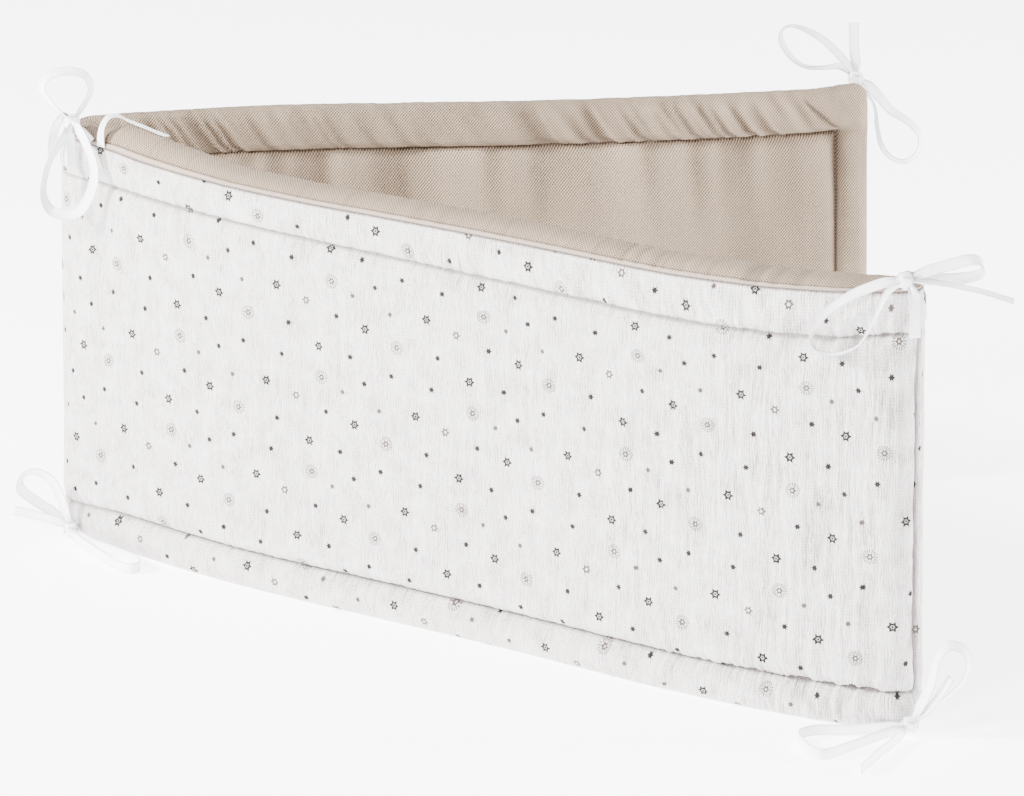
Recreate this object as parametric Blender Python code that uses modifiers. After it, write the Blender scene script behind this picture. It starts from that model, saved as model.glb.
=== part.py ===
"""Crib bumper: a long padded panel folded once like a hairpin, standing on its lower long edge.

The outer side is printed muslin and the inner side plain pique. Each side is one solid with its half of the
filling, and the two meet along a dividing surface that ends at the perimeter seam. Six ribbon ties are sewn
into that seam, a pair at each end and a pair at the fold, and each is tied in a bow.
Metres, +Z up. The long way is X, and the open ends of the wings are at +X.
"""
import math

import bmesh
import bpy
import numpy as np
from mathutils import Vector

# --- driving dimensions ---------------------------------------------------------------------------------------
HEIGHT = 0.400            # the standing panel
GAP = 0.0003              # clearance between solids that touch
BORDER_TOP = 0.050        # from the top edge down to the stitched frame line, where the rows below have it
BORDER_BOTTOM = 0.036     # from the floor up to the stitched frame line
BORDER_END = 0.033        # from an end edge to the stitched frame line
CORNER_RADIUS = 0.016     # the rounded corners of the panel
GROOVE_DEPTH = 0.0105     # how far the stitching pulls each face in
GROOVE_WIDTH = 0.017      # from the stitching to where the face is full again
END_EDGE = 0.22           # the share of the full thickness left at the very end edge
END_ROLL = 0.016          # from an end edge to where the pad is full
TURNED_FULLNESS = 0.62    # the share of the full thickness left in the turned border of the front end
TURNED_REACH = 0.020      # from that border's stitching to where the front wing is full
FOLD_PRESS = 0.35         # the share of its thickness that the inner side loses in the fold
FOLD_PRESS_REACH = 0.035
INNER_FULL_ABOVE = 0.380  # above this height the inner side keeps its thickness
LEAST_THICKNESS = 0.0015  # what the stitching leaves of a side
TURN_REACH = 0.012        # half of the stretch over which a heading is averaged
FLOOR_SPREAD = 0.018      # the wings are this share longer at the floor than at the top
MAIN_STEP = 0.029         # the distance between sections along the wings
SEAM_HEIGHT = 0.3842      # where the seam runs on the front of the top roll
SEAM_FROM = 0.366         # the rows above this one move with the seam
SHIFT_FROM = 0.300        # the rows between this one and the seam move with the stitched line

# The middle of the panel in plan, from the front wing's end round the fold to the back wing's end, as arcs.
MIDDLE_START = (0.3742, -0.2840)
MIDDLE_START_HEADING = -90.0
MIDDLE_ARCS = (
    # name, length, turn in degrees (left is positive)
    ("front end border, turned back", 0.028, 0.0),
    ("bend at the end stitching", 0.017, -112.0),
    ("front wing, outer third", 0.270, -14.0),
    ("front wing, middle", 0.300, 4.0),
    ("front wing, by the fold", 0.304, -12.5),
    ("fold", 0.050, -114.0),
    ("back wing, by the fold", 0.330, -20.5),
    ("back wing, outer half", 0.412, 11.5),
)

# What changes along the panel.
TOP_EDGE = (
    # metres from the front end, height share, top border, how far the seam rises towards the crest
    (0.000, 1.010, 0.042, 0.0090),
    (0.050, 1.009, 0.045, 0.0080),
    (0.100, 1.002, 0.053, 0.0050),
    (0.160, 0.996, 0.055, 0.0030),
    (0.250, 0.991, 0.055, 0.0020),
    (0.450, 0.993, 0.054, 0.0010),
    (0.620, 0.990, 0.049, 0.0020),
    (0.720, 0.993, 0.047, 0.0020),
    (0.780, 1.008, 0.051, -0.0020),
    (0.830, 1.022, 0.054, -0.0050),
    (0.865, 1.028, 0.054, -0.0040),
    (0.900, 1.002, 0.044, 0.0070),
    (0.960, 1.003, 0.043, 0.0080),
    (1.250, 0.992, 0.043, 0.0030),
    (1.550, 0.998, 0.042, 0.0030),
    (1.660, 1.000, 0.041, 0.0050),
    (1.700, 1.008, 0.041, 0.0080),
)

# The section of the filled panel without its stitching: how far a face stands off the middle, and its height.
OUTER_FACE = (
    # off the middle, height: from the floor up to the seam
    (0.0070, 0.0000),
    (0.0125, 0.0030),
    (0.0165, 0.0100),
    (0.0180, 0.0190),
    (0.0180, 0.0270),
    (0.0180, 0.0320),
    (0.0180, 0.0360),
    (0.0182, 0.0400),
    (0.0185, 0.0460),
    (0.0185, 0.0560),
    (0.0180, 0.0780),
    (0.0175, 0.1150),
    (0.0175, 0.1600),
    (0.0175, 0.2050),
    (0.0175, 0.2500),
    (0.0175, 0.2920),
    (0.0175, 0.3180),
    (0.0175, 0.3340),
    (0.0175, 0.3420),
    (0.0175, 0.3470),
    (0.0175, 0.3500),
    (0.0175, 0.3540),
    (0.0178, 0.3600),
    (0.0180, 0.3690),
    (0.0170, 0.3775),
)
INNER_FACE = (
    # off the middle, height: from the seam over the crest and down to the floor
    (0.0142, 0.3885),
    (0.0115, 0.3920),
    (0.0085, 0.3918),
    (0.0045, 0.3955),
    (-0.0010, 0.3990),
    (-0.0070, 0.4000),
    (-0.0125, 0.3970),
    (-0.0165, 0.3900),
    (-0.0182, 0.3800),
    (-0.0182, 0.3680),
    (-0.0180, 0.3590),
    (-0.0175, 0.3540),
    (-0.0175, 0.3500),
    (-0.0175, 0.3465),
    (-0.0175, 0.3400),
    (-0.0175, 0.3260),
    (-0.0175, 0.2900),
    (-0.0175, 0.2450),
    (-0.0175, 0.2000),
    (-0.0175, 0.1550),
    (-0.0175, 0.1100),
    (-0.0180, 0.0700),
    (-0.0182, 0.0500),
    (-0.0182, 0.0410),
    (-0.0180, 0.0360),
    (-0.0180, 0.0310),
    (-0.0178, 0.0220),
    (-0.0160, 0.0100),
    (-0.0125, 0.0030),
    (-0.0070, 0.0000),
)
# Where the two sides meet inside the pad: up the middle, then forward to the seam.
DIVIDING_LINE = (
    # off the middle, height
    (0.0000, 0.0000),
    (0.0000, 0.1300),
    (0.0000, 0.2500),
    (0.0000, 0.3400),
    (0.0030, 0.3600),
    (0.0085, 0.3740),
    (0.0146, 0.3842),
)

# Soft troughs in the faces, where the cloth is pulled or has slack.
CREASES = (
    # side (1 outer, -1 inner), metres from the front end, height, half length, tilt in degrees from upright,
    # depth, half width
    (-1, 1.010, 0.372, 0.020, 22.0, 0.0040, 0.010),
    (-1, 1.052, 0.374, 0.022, 24.0, 0.0045, 0.010),
    (-1, 1.100, 0.372, 0.022, 26.0, 0.0040, 0.011),
    (-1, 1.165, 0.374, 0.020, 18.0, 0.0025, 0.011),
    (-1, 1.300, 0.374, 0.020, -14.0, 0.0020, 0.012),
    (-1, 1.400, 0.372, 0.022, 24.0, 0.0040, 0.011),
    (-1, 1.450, 0.374, 0.022, 26.0, 0.0045, 0.011),
    (-1, 1.505, 0.372, 0.022, 30.0, 0.0040, 0.011),
    (-1, 1.570, 0.376, 0.018, 34.0, 0.0030, 0.011),
    (-1, 1.110, 0.315, 0.040, 6.0, 0.0030, 0.014),
    (-1, 1.190, 0.300, 0.050, -4.0, 0.0030, 0.016),
    (-1, 1.270, 0.310, 0.045, 5.0, 0.0035, 0.016),
    (-1, 1.400, 0.300, 0.055, -3.0, 0.0030, 0.018),
    (1, 0.120, 0.366, 0.020, -20.0, 0.0030, 0.010),
    (1, 0.180, 0.366, 0.020, -24.0, 0.0035, 0.011),
    (1, 0.250, 0.366, 0.020, -28.0, 0.0030, 0.011),
    (1, 0.330, 0.366, 0.020, -24.0, 0.0030, 0.011),
    (1, 0.085, 0.020, 0.014, 10.0, 0.0030, 0.010),
    (1, 0.420, 0.250, 0.110, 3.0, 0.0025, 0.022),
    (1, 0.640, 0.220, 0.120, -3.0, 0.0025, 0.022),
    (1, 0.880, 0.300, 0.060, -8.0, 0.0030, 0.014),
)

# --- ribbon ties ----------------------------------------------------------------------------------------------
RIBBON_WIDTH = 0.010
RIBBON_THICKNESS = 0.0012
RIBBON_STEP = 0.009       # the distance between sections along a ribbon
KNOT_SIZE = (0.014, 0.009, 0.013)
KNOT_BEVEL = 0.3          # the bevel as a share of the knot's least size

# Each tie has its knot's place and its runs of ribbon, which go through the knot's middle. A row of a run is
# millimetres to the right of the knot, behind it and above it, and the ribbon's turn in degrees.
# A run that faces "front" shows its flat side to the front (-Y) at a turn of 0 degrees; one that faces "edge"
# stands on its edge at a turn of 0.
TIES = (
    ("tie_front_top", (0.3622, -0.3380, 0.4080), (
        ("front", ((1, 5, -10, 0), (1, 3, -6, 0), (0, 1, 0, 0))),
        ("front", ((0, -1, 0, 10), (-10, -1, 0, 10), (-28, 1, -6, 10), (-48, 6, -17, 10), (-65, 12, -33, 20),
                   (-76, 16, -53, 35), (-73, 15, -65, 45), (-60, 10, -68, 40), (-47, 4, -64, 35),
                   (-35, -1, -54, 35), (-24, -5, -31, 40), (-14, -5, -9, 30), (0, -4, 0, 10))),
        ("front", ((0, 2, 0, 0), (21, 2, 8, 10), (38, 2, 13, 15), (54, 2, 17, 35), (64, 3, 13, 80),
                   (62, 5, 4, 120), (48, 6, 0, 150), (30, 6, -1, 160), (0, 5, 0, 170))),
        ("front", ((0, 0, 1, 60), (16, 0, -1, 78), (38, -2, -4, 80), (63, -4, -9, 80), (90, -6, -17, 78))),
        ("front", ((2, -2, 0, 0), (7, -8, -10, 10), (8, -11, -20, 15), (8, -13, -33, 10), (8, -13, -46, 5))),
    )),
    ("tie_front_bottom", (0.3759, -0.3398, 0.0120), (
        ("edge", ((-3, 6, 1, 0), (-2, 4, 0, 0), (0, 1, 0, 0))),
        ("edge", ((0, -1, 0, 0), (-14, 4, -3, 0), (-50, 4, -6, 0), (-80, 3, -6, 0), (-95, -8, -6, 0),
                  (-93, -28, -6, 0), (-84, -48, -6, 0), (-73, -50, -6, 0), (-53, -35, -6, 0), (-26, -12, -5, 0),
                  (0, -4, 0, 0))),
        ("front", ((0, 1, 0, 40), (8, 1, 15, 40), (17, 1, 36, 45), (22, 1, 60, 60), (31, 2, 71, 40),
                   (43, 2, 68, 20), (49, 3, 56, 20), (45, 4, 40, 30), (34, 5, 26, 35), (14, 5, 9, 35),
                   (0, 4, 0, 30))),
        ("edge", ((-2, -2, 0, 0), (-10, -14, -5, 0), (-28, -46, -6, 0), (-47, -82, -6, 0))),
        ("front", ((0, -1, 1, 60), (11, -2, 10, 66), (23, -3, 25, 66), (34, -3, 44, 60))),
    )),
    ("tie_back_top", (0.3652, 0.3360, 0.4020), (
        ("front", ((0, -3, -9, 0), (0, -2, -5, 0), (0, 1, 0, 0))),
        ("front", ((0, 1, 0, 30), (-9, 1, 15, 30), (-30, 1, 37, 35), (-50, 1, 49, 50), (-64, 1, 52, 70),
                   (-72, 1, 46, 60), (-71, 2, 34, 40), (-61, 3, 19, 20), (-47, 4, 10, 20), (-30, 5, 9, 30),
                   (-14, 5, 10, 30), (0, 4, 0, 20))),
        ("front", ((0, -1, 0, 20), (12, -1, -6, 15), (23, -1, -18, 15), (34, -1, -31, 25), (46, -1, -39, 45),
                   (57, -1, -48, 60), (63, -1, -59, 60), (60, -2, -73, 45), (49, -3, -81, 30),
                   (36, -4, -77, 30), (27, -4, -66, 40), (22, -4, -48, 55), (18, -3, -24, 70),
                   (0, -3, 0, 40))),
        ("front", ((0, 0, 1, 15), (0, 0, 14, 15), (-2, 0, 32, 20), (-3, 0, 55, 15))),
        ("front", ((0, 2, 0, 10), (3, 9, -6, 10), (3, 12, -20, 10), (1, 12, -46, 15), (-1, 11, -74, 20))),
    )),
    ("tie_back_bottom", (0.3707, 0.3395, 0.0120), (
        ("edge", ((-1, -5, 2, 0), (0, -3, 1, 0), (0, -1, 0, 0))),
        ("edge", ((0, 1, 0, 0), (-14, 8, -4, 0), (-36, 14, -6, 0), (-56, 15, -6, 0), (-68, 8, -6, 0),
                  (-58, 1, -6, 0), (-40, 0, -6, 0), (-20, 2, -5, 0), (0, 3, 0, 0))),
        ("edge", ((0, -1, 0, 0), (12, 5, -3, 0), (24, 14, -6, 0), (30, 26, -6, 0), (22, 34, -6, 0),
                  (10, 30, -6, 0), (4, 19, -6, 0), (2, 9, -4, 0), (0, 4, 0, 0))),
        ("edge", ((2, -1, 0, 0), (16, -3, -5, 0), (30, -12, -6, 0), (38, -30, -6, 0))),
        ("edge", ((-2, 2, 0, 0), (-10, 16, -5, 0), (-20, 26, -6, 0), (-32, 36, -6, 0))),
    )),
    ("tie_fold_top", (-0.3683, 0.1545, 0.4085), (
        ("front", ((17.6, -17.2, -14.2, 0), (13, -14.4, -9.4, 0), (6, -8, -4, 0), (0, -1, 0, 0))),
        ("front", ((0, 1, 0, 45), (-10, 2, 9, 40), (-21, 3, 20, 40), (-28, 4, 30, 50), (-25, 4, 39, 40),
                   (-16, 5, 45, 25), (-2, 5, 47, 25), (12, 5, 43, 35), (17, 4, 31, 50), (12, 4, 19, 50),
                   (0, 3, 0, 45))),
        ("front", ((0, -1, 0, 40), (-3, -9, -4, 40), (-14, -15, -20, 50), (-23, -20, -38, 60),
                   (-27, -24, -60, 62), (-22, -28, -74, 45), (-13, -30, -79, 30), (-1, -30, -80, 20),
                   (9, -32, -74, 20), (20, -36, -53, 25), (22, -37, -32, 30), (16, -30, -15, 30),
                   (7, -17, -2, 20), (0, -4, 1, 10))),
        ("front", ((0, 2, 0, 30), (-8, 6, 6, 35), (-16, 8, -5, 40), (-20, 8, -19, 40), (-20, 8, -35, 35))),
        ("front", ((0, -2, 0, 10), (-2, -12, -7, 20), (0, -19, -21, 30), (1, -23, -37, 30))),
    )),
    ("tie_fold_bottom", (-0.3795, 0.1453, 0.0120), (
        ("edge", ((5.8, 5.4, 1.5, 0), (3, 3, 1, 0), (0, 0, 0, 0))),
        ("front", ((0, 1, 0, 20), (-5, 1, 16, 20), (-8, 1, 30, 25), (-17, 2, 49, 25), (-30, 2, 58, 30),
                   (-42, 3, 56, 50), (-48, 3, 48, 60), (-46, 4, 38, 20), (-34, 5, 28, 15), (-16, 5, 15, 15),
                   (0, 4, 0, 10))),
        ("edge", ((0, -1, 0, 0), (14, -14, -4, 0), (27, -25, -6, 0), (46, -43, -6, 0), (62, -60, -6, 0),
                  (70, -76, -6, 0), (64, -87, -6, 0), (52, -80, -6, 0), (35, -56, -6, 0), (14, -26, -4, 0),
                  (-1, -6, 0, 0))),
        ("front", ((0, -1, 1, 10), (-8, -2, 8, 10), (-28, -3, 15, 15), (-54, -4, 22, 10))),
    )),
)
# The loose ribbon end that is sewn in by the fold, arches over the top edge and lies along the crest.
LOOSE_END = ("tie_fold_inner", (-0.3399, 0.1276, 0.3925), (
    ("front", ((0, 0, 0, 43), (0, 0, 8, 48), (1, 3, 17, 60), (6, 8, 25, 75), (14, 12, 26, 90), (23, 12, 22, 98),
               (31, 5, 20.5, 100), (40, -4, 19.5, 100), (50, -13, 18, 100), (61, -24, 16.8, 100))),
))


def remove_start_objects():
    """Remove the objects that a new Blender file starts with."""
    for obj in list(bpy.data.objects):
        bpy.data.objects.remove(obj, do_unlink=True)


def make_material(name, colour, roughness):
    """A plain material in the cloth's colour."""
    material = bpy.data.materials.new(name)
    material.use_nodes = True
    shader = material.node_tree.nodes["Principled BSDF"]
    shader.inputs["Base Color"].default_value = (*colour, 1.0)
    shader.inputs["Roughness"].default_value = roughness
    shader.inputs["Metallic"].default_value = 0.0
    return material


# --- the panel ------------------------------------------------------------------------------------------------
PANEL_LENGTH = sum(length for _, length, _ in MIDDLE_ARCS)


def middle_at(along):
    """The point in plan and the heading, in radians, at a distance along the panel's middle."""
    x, y = MIDDLE_START
    heading = math.radians(MIDDLE_START_HEADING)
    for _, length, turn in MIDDLE_ARCS:
        part = min(max(along, 0.0), length)
        bend = math.radians(turn) / length
        if abs(bend) < 1e-9:
            x += part * math.cos(heading)
            y += part * math.sin(heading)
        else:
            x += (math.sin(heading + bend * part) - math.sin(heading)) / bend
            y -= (math.cos(heading + bend * part) - math.cos(heading)) / bend
            heading += bend * part
        along -= part
        if along <= 0.0:
            break
    return x, y, heading


def heading_at(along):
    """The heading, averaged over a short stretch, so that the faces turn smoothly where two arcs meet."""
    before = middle_at(max(along - TURN_REACH, 0.0))
    after = middle_at(min(along + TURN_REACH, PANEL_LENGTH))
    return math.atan2(after[1] - before[1], after[0] - before[0])


def section_places():
    """Where the sections stand along the panel: close together at the ends, the bends and the fold."""
    end = (0.0, 0.0025, 0.007, 0.013, 0.020, 0.027, BORDER_END - 0.003, BORDER_END, BORDER_END + 0.003,
           BORDER_END + 0.009, BORDER_END + 0.018, BORDER_END + 0.034)
    fold_start = sum(length for _, length, _ in MIDDLE_ARCS[:5])
    fold_end = fold_start + MIDDLE_ARCS[5][1]
    places = list(end)

    def fill(low, high, step):
        count = max(1, round((high - low) / step))
        places.extend(low + (high - low) * i / count for i in range(1, count + 1))

    fill(end[-1], fold_start - 0.012, MAIN_STEP)
    fill(fold_start - 0.012, fold_end + 0.012, 0.0075)
    fill(fold_end + 0.012, PANEL_LENGTH - end[-1], MAIN_STEP)
    places.extend(PANEL_LENGTH - e for e in reversed(end[:-1]))
    return places


def end_distance(along):
    return min(along, PANEL_LENGTH - along)


def fullness(along):
    """The share of the full thickness, which falls off to the seam at each end."""
    edge = min(end_distance(along) / END_ROLL, 1.0)
    share = END_EDGE + (1.0 - END_EDGE) * math.sqrt(1.0 - (1.0 - edge) ** 2)
    past_border = min(1.0, max(0.0, (along - BORDER_END) / TURNED_REACH))
    return share * (TURNED_FULLNESS + (1.0 - TURNED_FULLNESS) * past_border)


def inner_share(along):
    """How much thinner the inner side is where the fold presses it together."""
    fold = sum(length for _, length, _ in MIDDLE_ARCS[:5]) + MIDDLE_ARCS[5][1] / 2
    return 1.0 - FOLD_PRESS * math.exp(-((along - fold) / FOLD_PRESS_REACH) ** 2)


def corner_cut(along):
    """How far the rounded corner takes the top and the bottom edge back."""
    inside = CORNER_RADIUS - min(end_distance(along), CORNER_RADIUS)
    return CORNER_RADIUS - math.sqrt(CORNER_RADIUS ** 2 - inside ** 2)


def edge_value(along, column):
    """A column of the top edge's table, between its rows."""
    return float(np.interp(along, [row[0] for row in TOP_EDGE], [row[column] for row in TOP_EDGE]))


def level(along, off, height):
    """The height of a row at one place along: the stitching and the front of the seam aren't quite parallel."""
    line = HEIGHT - BORDER_TOP
    shift = BORDER_TOP - edge_value(along, 2)
    if SHIFT_FROM < height <= line:
        height += shift * (height - SHIFT_FROM) / (line - SHIFT_FROM)
    elif line < height < SEAM_FROM:
        height += shift * (SEAM_FROM - height) / (SEAM_FROM - line)
    elif off > 0.0 and height >= SEAM_FROM:
        rise = edge_value(along, 3)
        below = (height - SEAM_FROM) / (SEAM_HEIGHT - SEAM_FROM)
        above = (HEIGHT - height) / (HEIGHT - SEAM_HEIGHT)
        height += rise * min(below, above)
    return height


def groove(along, height):
    """How far the stitched frame line pulls a face in, from the distance to the line.

    The height is the row's own, before the rows follow the line.
    """
    inward = min(end_distance(along) - BORDER_END, HEIGHT - BORDER_TOP - height, height - BORDER_BOTTOM)
    if end_distance(along) < BORDER_END:
        outside = max(BORDER_END - end_distance(along), height - HEIGHT + BORDER_TOP, BORDER_BOTTOM - height, 0.0)
        inward = -outside
    near = max(0.0, 1.0 - abs(inward) / GROOVE_WIDTH)
    return GROOVE_DEPTH * near ** 1.8


def crease(side, along, height):
    """How far the soft troughs of one side go in at a point."""
    depth = 0.0
    for row_side, place, middle, reach, tilt, deep, wide in CREASES:
        if row_side != side:
            continue
        lean = math.radians(tilt)
        across = (along - place) * math.cos(lean) + (height - middle) * math.sin(lean)
        down = (height - middle) * math.cos(lean) - (along - place) * math.sin(lean)
        depth += deep * math.exp(-(across / wide) ** 2 - (down / reach) ** 4)
    return depth


def place_point(along, off, height):
    """A point of the panel in space, from its distance along, off the middle and above the floor."""
    x, y, _ = middle_at(along)
    heading = heading_at(along)
    cut = corner_cut(along)
    top = HEIGHT * edge_value(along, 1)
    z = cut + level(along, off, height) / HEIGHT * (top - 2.0 * cut)
    x = x - off * math.sin(heading)
    y = y + off * math.cos(heading)
    x *= 1.0 + FLOOR_SPREAD * (0.5 - z / HEIGHT)
    return Vector((x, y, z))


def face_points(rows, side, along):
    """One section of a face: its rows, thinned to the ends and drawn in by the stitching and the creases."""
    share = fullness(along)
    points = []
    for off, height in rows:
        thick = off * share
        drawn = groove(along, height) + crease(side, along, height)
        if side > 0:
            thick = max(thick - drawn * share, min(LEAST_THICKNESS, thick))
        elif height < INNER_FULL_ABOVE:
            thick = min(thick * inner_share(along) + drawn * share, max(-LEAST_THICKNESS, thick))
        points.append(place_point(along, thick, height))
    return points


def dividing_points(along, gap):
    """One section of the dividing surface, moved off it by half of the clearance."""
    share = fullness(along)
    return [place_point(along, off * share + gap / 2, height) for off, height in DIVIDING_LINE]


def loft(name, rings, material, collection):
    """A closed solid through rings with the same number of points each.

    Each four-sided patch is split from the first ring's upper corner to the second ring's lower one, so that
    two solids that share a surface split it alike.
    """
    mesh = bpy.data.meshes.new(name)
    shape = bmesh.new()
    loops = [[shape.verts.new(point) for point in ring] for ring in rings]
    for first, second in zip(loops, loops[1:]):
        for i in range(len(first)):
            j = (i + 1) % len(first)
            if first[i].co.z >= first[j].co.z:
                shape.faces.new((first[i], first[j], second[j]))
                shape.faces.new((first[i], second[j], second[i]))
            else:
                shape.faces.new((first[i], first[j], second[i]))
                shape.faces.new((first[j], second[j], second[i]))
    shape.faces.new(reversed(loops[0]))
    shape.faces.new(loops[-1])
    bmesh.ops.triangulate(shape, faces=[face for face in shape.faces if len(face.verts) > 4])
    bmesh.ops.recalc_face_normals(shape, faces=shape.faces)
    shape.to_mesh(mesh)
    shape.free()
    mesh.shade_smooth()
    mesh.materials.append(material)
    obj = bpy.data.objects.new(name, mesh)
    collection.objects.link(obj)
    return obj


def make_panels(printed, plain, collection):
    """The printed outer side and the plain inner side of the pad."""
    places = section_places()
    outer = [face_points(OUTER_FACE, 1, s) + dividing_points(s, GAP)[::-1] for s in places]
    inner = [face_points(INNER_FACE, -1, s) + dividing_points(s, -GAP) for s in places]
    return [loft("printed_panel", outer, printed, collection), loft("plain_panel", inner, plain, collection)]


# --- the ribbons ----------------------------------------------------------------------------------------------
def smooth_run(rows):
    """The rows' points and turns, as one smooth curve through them with even steps."""
    table = np.array(rows, float)
    table[:, :3] *= 0.001
    ends = np.vstack([2 * table[0] - table[1], table, 2 * table[-1] - table[-2]])
    fine = []
    for a, b, c, d in zip(ends, ends[1:], ends[2:], ends[3:]):
        for t in np.linspace(0.0, 1.0, 12, endpoint=False):
            fine.append(0.5 * (2 * b + (c - a) * t + (2 * a - 5 * b + 4 * c - d) * t ** 2
                               + (3 * b - a - 3 * c + d) * t ** 3))
    fine.append(table[-1])
    fine = np.array(fine)
    run = np.concatenate([[0.0], np.cumsum(np.linalg.norm(np.diff(fine[:, :3], axis=0), axis=1))])
    places = np.linspace(0.0, run[-1], max(3, round(run[-1] / RIBBON_STEP) + 1))
    return np.stack([np.interp(places, run, fine[:, k]) for k in range(4)], axis=1)


def ribbon_rings(faces, rows, knot):
    """The four corners of the ribbon's section at each step of one run."""
    points = smooth_run(rows)
    rings = []
    for i, (x, y, z, turn) in enumerate(points):
        ahead = points[min(i + 1, len(points) - 1), :3] - points[max(i - 1, 0), :3]
        tangent = Vector(ahead).normalized()
        if faces == "front":
            flat = Vector((0.0, -1.0, 0.0))
            flat = (flat - tangent * flat.dot(tangent)).normalized()
            across = tangent.cross(flat)
        else:
            across = Vector((0.0, 0.0, 1.0))
            across = (across - tangent * across.dot(tangent)).normalized()
            flat = across.cross(tangent)
        angle = math.radians(turn)
        wide = (across * math.cos(angle) + flat * math.sin(angle)) * (RIBBON_WIDTH / 2)
        thick = (flat * math.cos(angle) - across * math.sin(angle)) * (RIBBON_THICKNESS / 2)
        middle = Vector(knot) + Vector((x, y, z))
        rings.append([middle + wide + thick, middle - wide + thick, middle - wide - thick, middle + wide - thick])
    return rings


def make_knot(name, place, material, collection):
    """The knot, a small rounded block."""
    bpy.ops.mesh.primitive_cube_add(size=1.0, location=place)
    knot = bpy.context.active_object
    knot.name = name
    knot.scale = KNOT_SIZE
    bpy.ops.object.transform_apply(location=False, scale=True)
    bevel = knot.modifiers.new("soft_edges", "BEVEL")
    bevel.width = min(KNOT_SIZE) * KNOT_BEVEL
    bevel.segments = 1
    knot.data.materials.append(material)
    for old in knot.users_collection:
        old.objects.unlink(knot)
    collection.objects.link(knot)
    return knot


def make_tie(name, place, runs, material, parts, cutters):
    """One tie: its knot joined with every run of its ribbon."""
    pieces = bpy.data.collections.new(name + "_runs")
    cutters.children.link(pieces)
    for i, (faces, rows) in enumerate(runs):
        run = loft(f"{name}_run_{i}", ribbon_rings(faces, rows, place), material, pieces)
        run.hide_render = True
        run.display_type = "WIRE"
    knot = make_knot(name, place, material, parts)
    join = knot.modifiers.new("join_runs", "BOOLEAN")
    join.operation = "UNION"
    join.operand_type = "COLLECTION"
    join.collection = pieces
    join.solver = "EXACT"
    return knot


def main():
    remove_start_objects()
    parts = bpy.data.collections.new("crib_bumper")
    cutters = bpy.data.collections.new("crib_bumper_cutters")
    bpy.context.scene.collection.children.link(parts)
    bpy.context.scene.collection.children.link(cutters)
    printed = make_material("printed_muslin", (0.86, 0.85, 0.83), 0.95)
    plain = make_material("beige_pique", (0.56, 0.47, 0.38), 0.95)
    ribbon = make_material("white_ribbon", (0.88, 0.87, 0.90), 0.45)
    make_panels(printed, plain, parts)
    for name, place, runs in TIES:
        make_tie(name, place, runs, ribbon, parts, cutters)
    name, place, runs = LOOSE_END
    loft(name, ribbon_rings(*runs[0], place), ribbon, parts)


main()
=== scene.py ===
"""Crib bumper: a long padded panel folded once, standing on its long edge, with ribbon ties in bows.

The outer side is crinkled white muslin printed with small stars and dots. The inner side is beige pique,
which rolls over the top edge to the perimeter seam on the outer side.
Metres, +Z up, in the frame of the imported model.
"""

import math

import bpy
import numpy as np
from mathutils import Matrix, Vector


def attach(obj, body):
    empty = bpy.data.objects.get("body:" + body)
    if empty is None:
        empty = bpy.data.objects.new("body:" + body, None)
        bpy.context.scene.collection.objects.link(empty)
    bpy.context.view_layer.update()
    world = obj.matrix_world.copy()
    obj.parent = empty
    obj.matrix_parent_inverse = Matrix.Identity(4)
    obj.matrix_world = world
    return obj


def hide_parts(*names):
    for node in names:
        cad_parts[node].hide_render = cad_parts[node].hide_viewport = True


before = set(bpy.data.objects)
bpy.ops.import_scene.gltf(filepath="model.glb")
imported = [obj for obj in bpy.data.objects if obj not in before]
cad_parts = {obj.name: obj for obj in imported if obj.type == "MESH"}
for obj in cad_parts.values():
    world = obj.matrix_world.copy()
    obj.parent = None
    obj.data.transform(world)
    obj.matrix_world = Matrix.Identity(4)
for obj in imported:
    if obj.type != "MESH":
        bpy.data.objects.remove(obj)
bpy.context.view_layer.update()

# --- the panel's dimensions, as in the solids ---
HEIGHT = 0.400
BORDER_TOP = 0.050  # from the edge in to the stitched frame line
BORDER_BOTTOM = 0.036
BORDER_END = 0.033
STITCH_TOP = HEIGHT - BORDER_TOP
CORNER_RADIUS = 0.016
GROOVE_DEPTH = 0.0105  # the soft trough along the frame line
GROOVE_WIDTH = 0.017
THREAD_CREASE = 0.0030  # the sharp crease in its middle: its depth, and its reach to each side
INNER_GROOVE = 0.78  # the inner side's soft trough is shallower
OUTER_TOP_GROOVE = 0.55  # and so is the outer side's top stitching
TOP_GROOVE_FADE = 0.04
FOLD_REACH = 0.060  # the stitching lies flatter round the outside of the fold
FOLD_FLATTENS = 0.85
FOLD_PRESS = 0.35  # the share of the inner side's thickness that the fold takes
FOLD_PRESS_REACH = 0.035
INNER_PRESSED_FROM = 0.380  # the fold presses the inner side below this height
PRESSED_FADE = 0.012
END_EDGE = 0.10  # the share of the thickness that is left at the very ends
END_ROLL = 0.016  # how far in from the ends it is full
TURNED_SHARE = 0.62  # the border that is turned back at the front end is thinner
TURNED_FADE = 0.02
LEAST_HALF = 0.0015  # the stitching leaves at least this much of a side
FLOOR_SPREAD = 0.018  # the wings stand a little wider on the floor than at the top
SEAM_HEIGHT = 0.3842  # the perimeter seam on the outer side
CREST_FROM = 0.384  # above this height the pique rolls over the top edge
CREST_FREE_FROM = 0.395  # and above this one nothing draws it in
SEAM_FROM = 0.366  # the rows above this height rise with the seam
SHIFT_FROM = 0.300  # and the ones above this height follow the top stitching
TURN_REACH = 0.012  # half of the stretch over which a heading is averaged
INSIDE_GAP = 0.00015  # half of the gap between the two sides inside the pad
INSIDE_TOP = 0.34  # how high their surface inside the pad reaches

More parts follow.
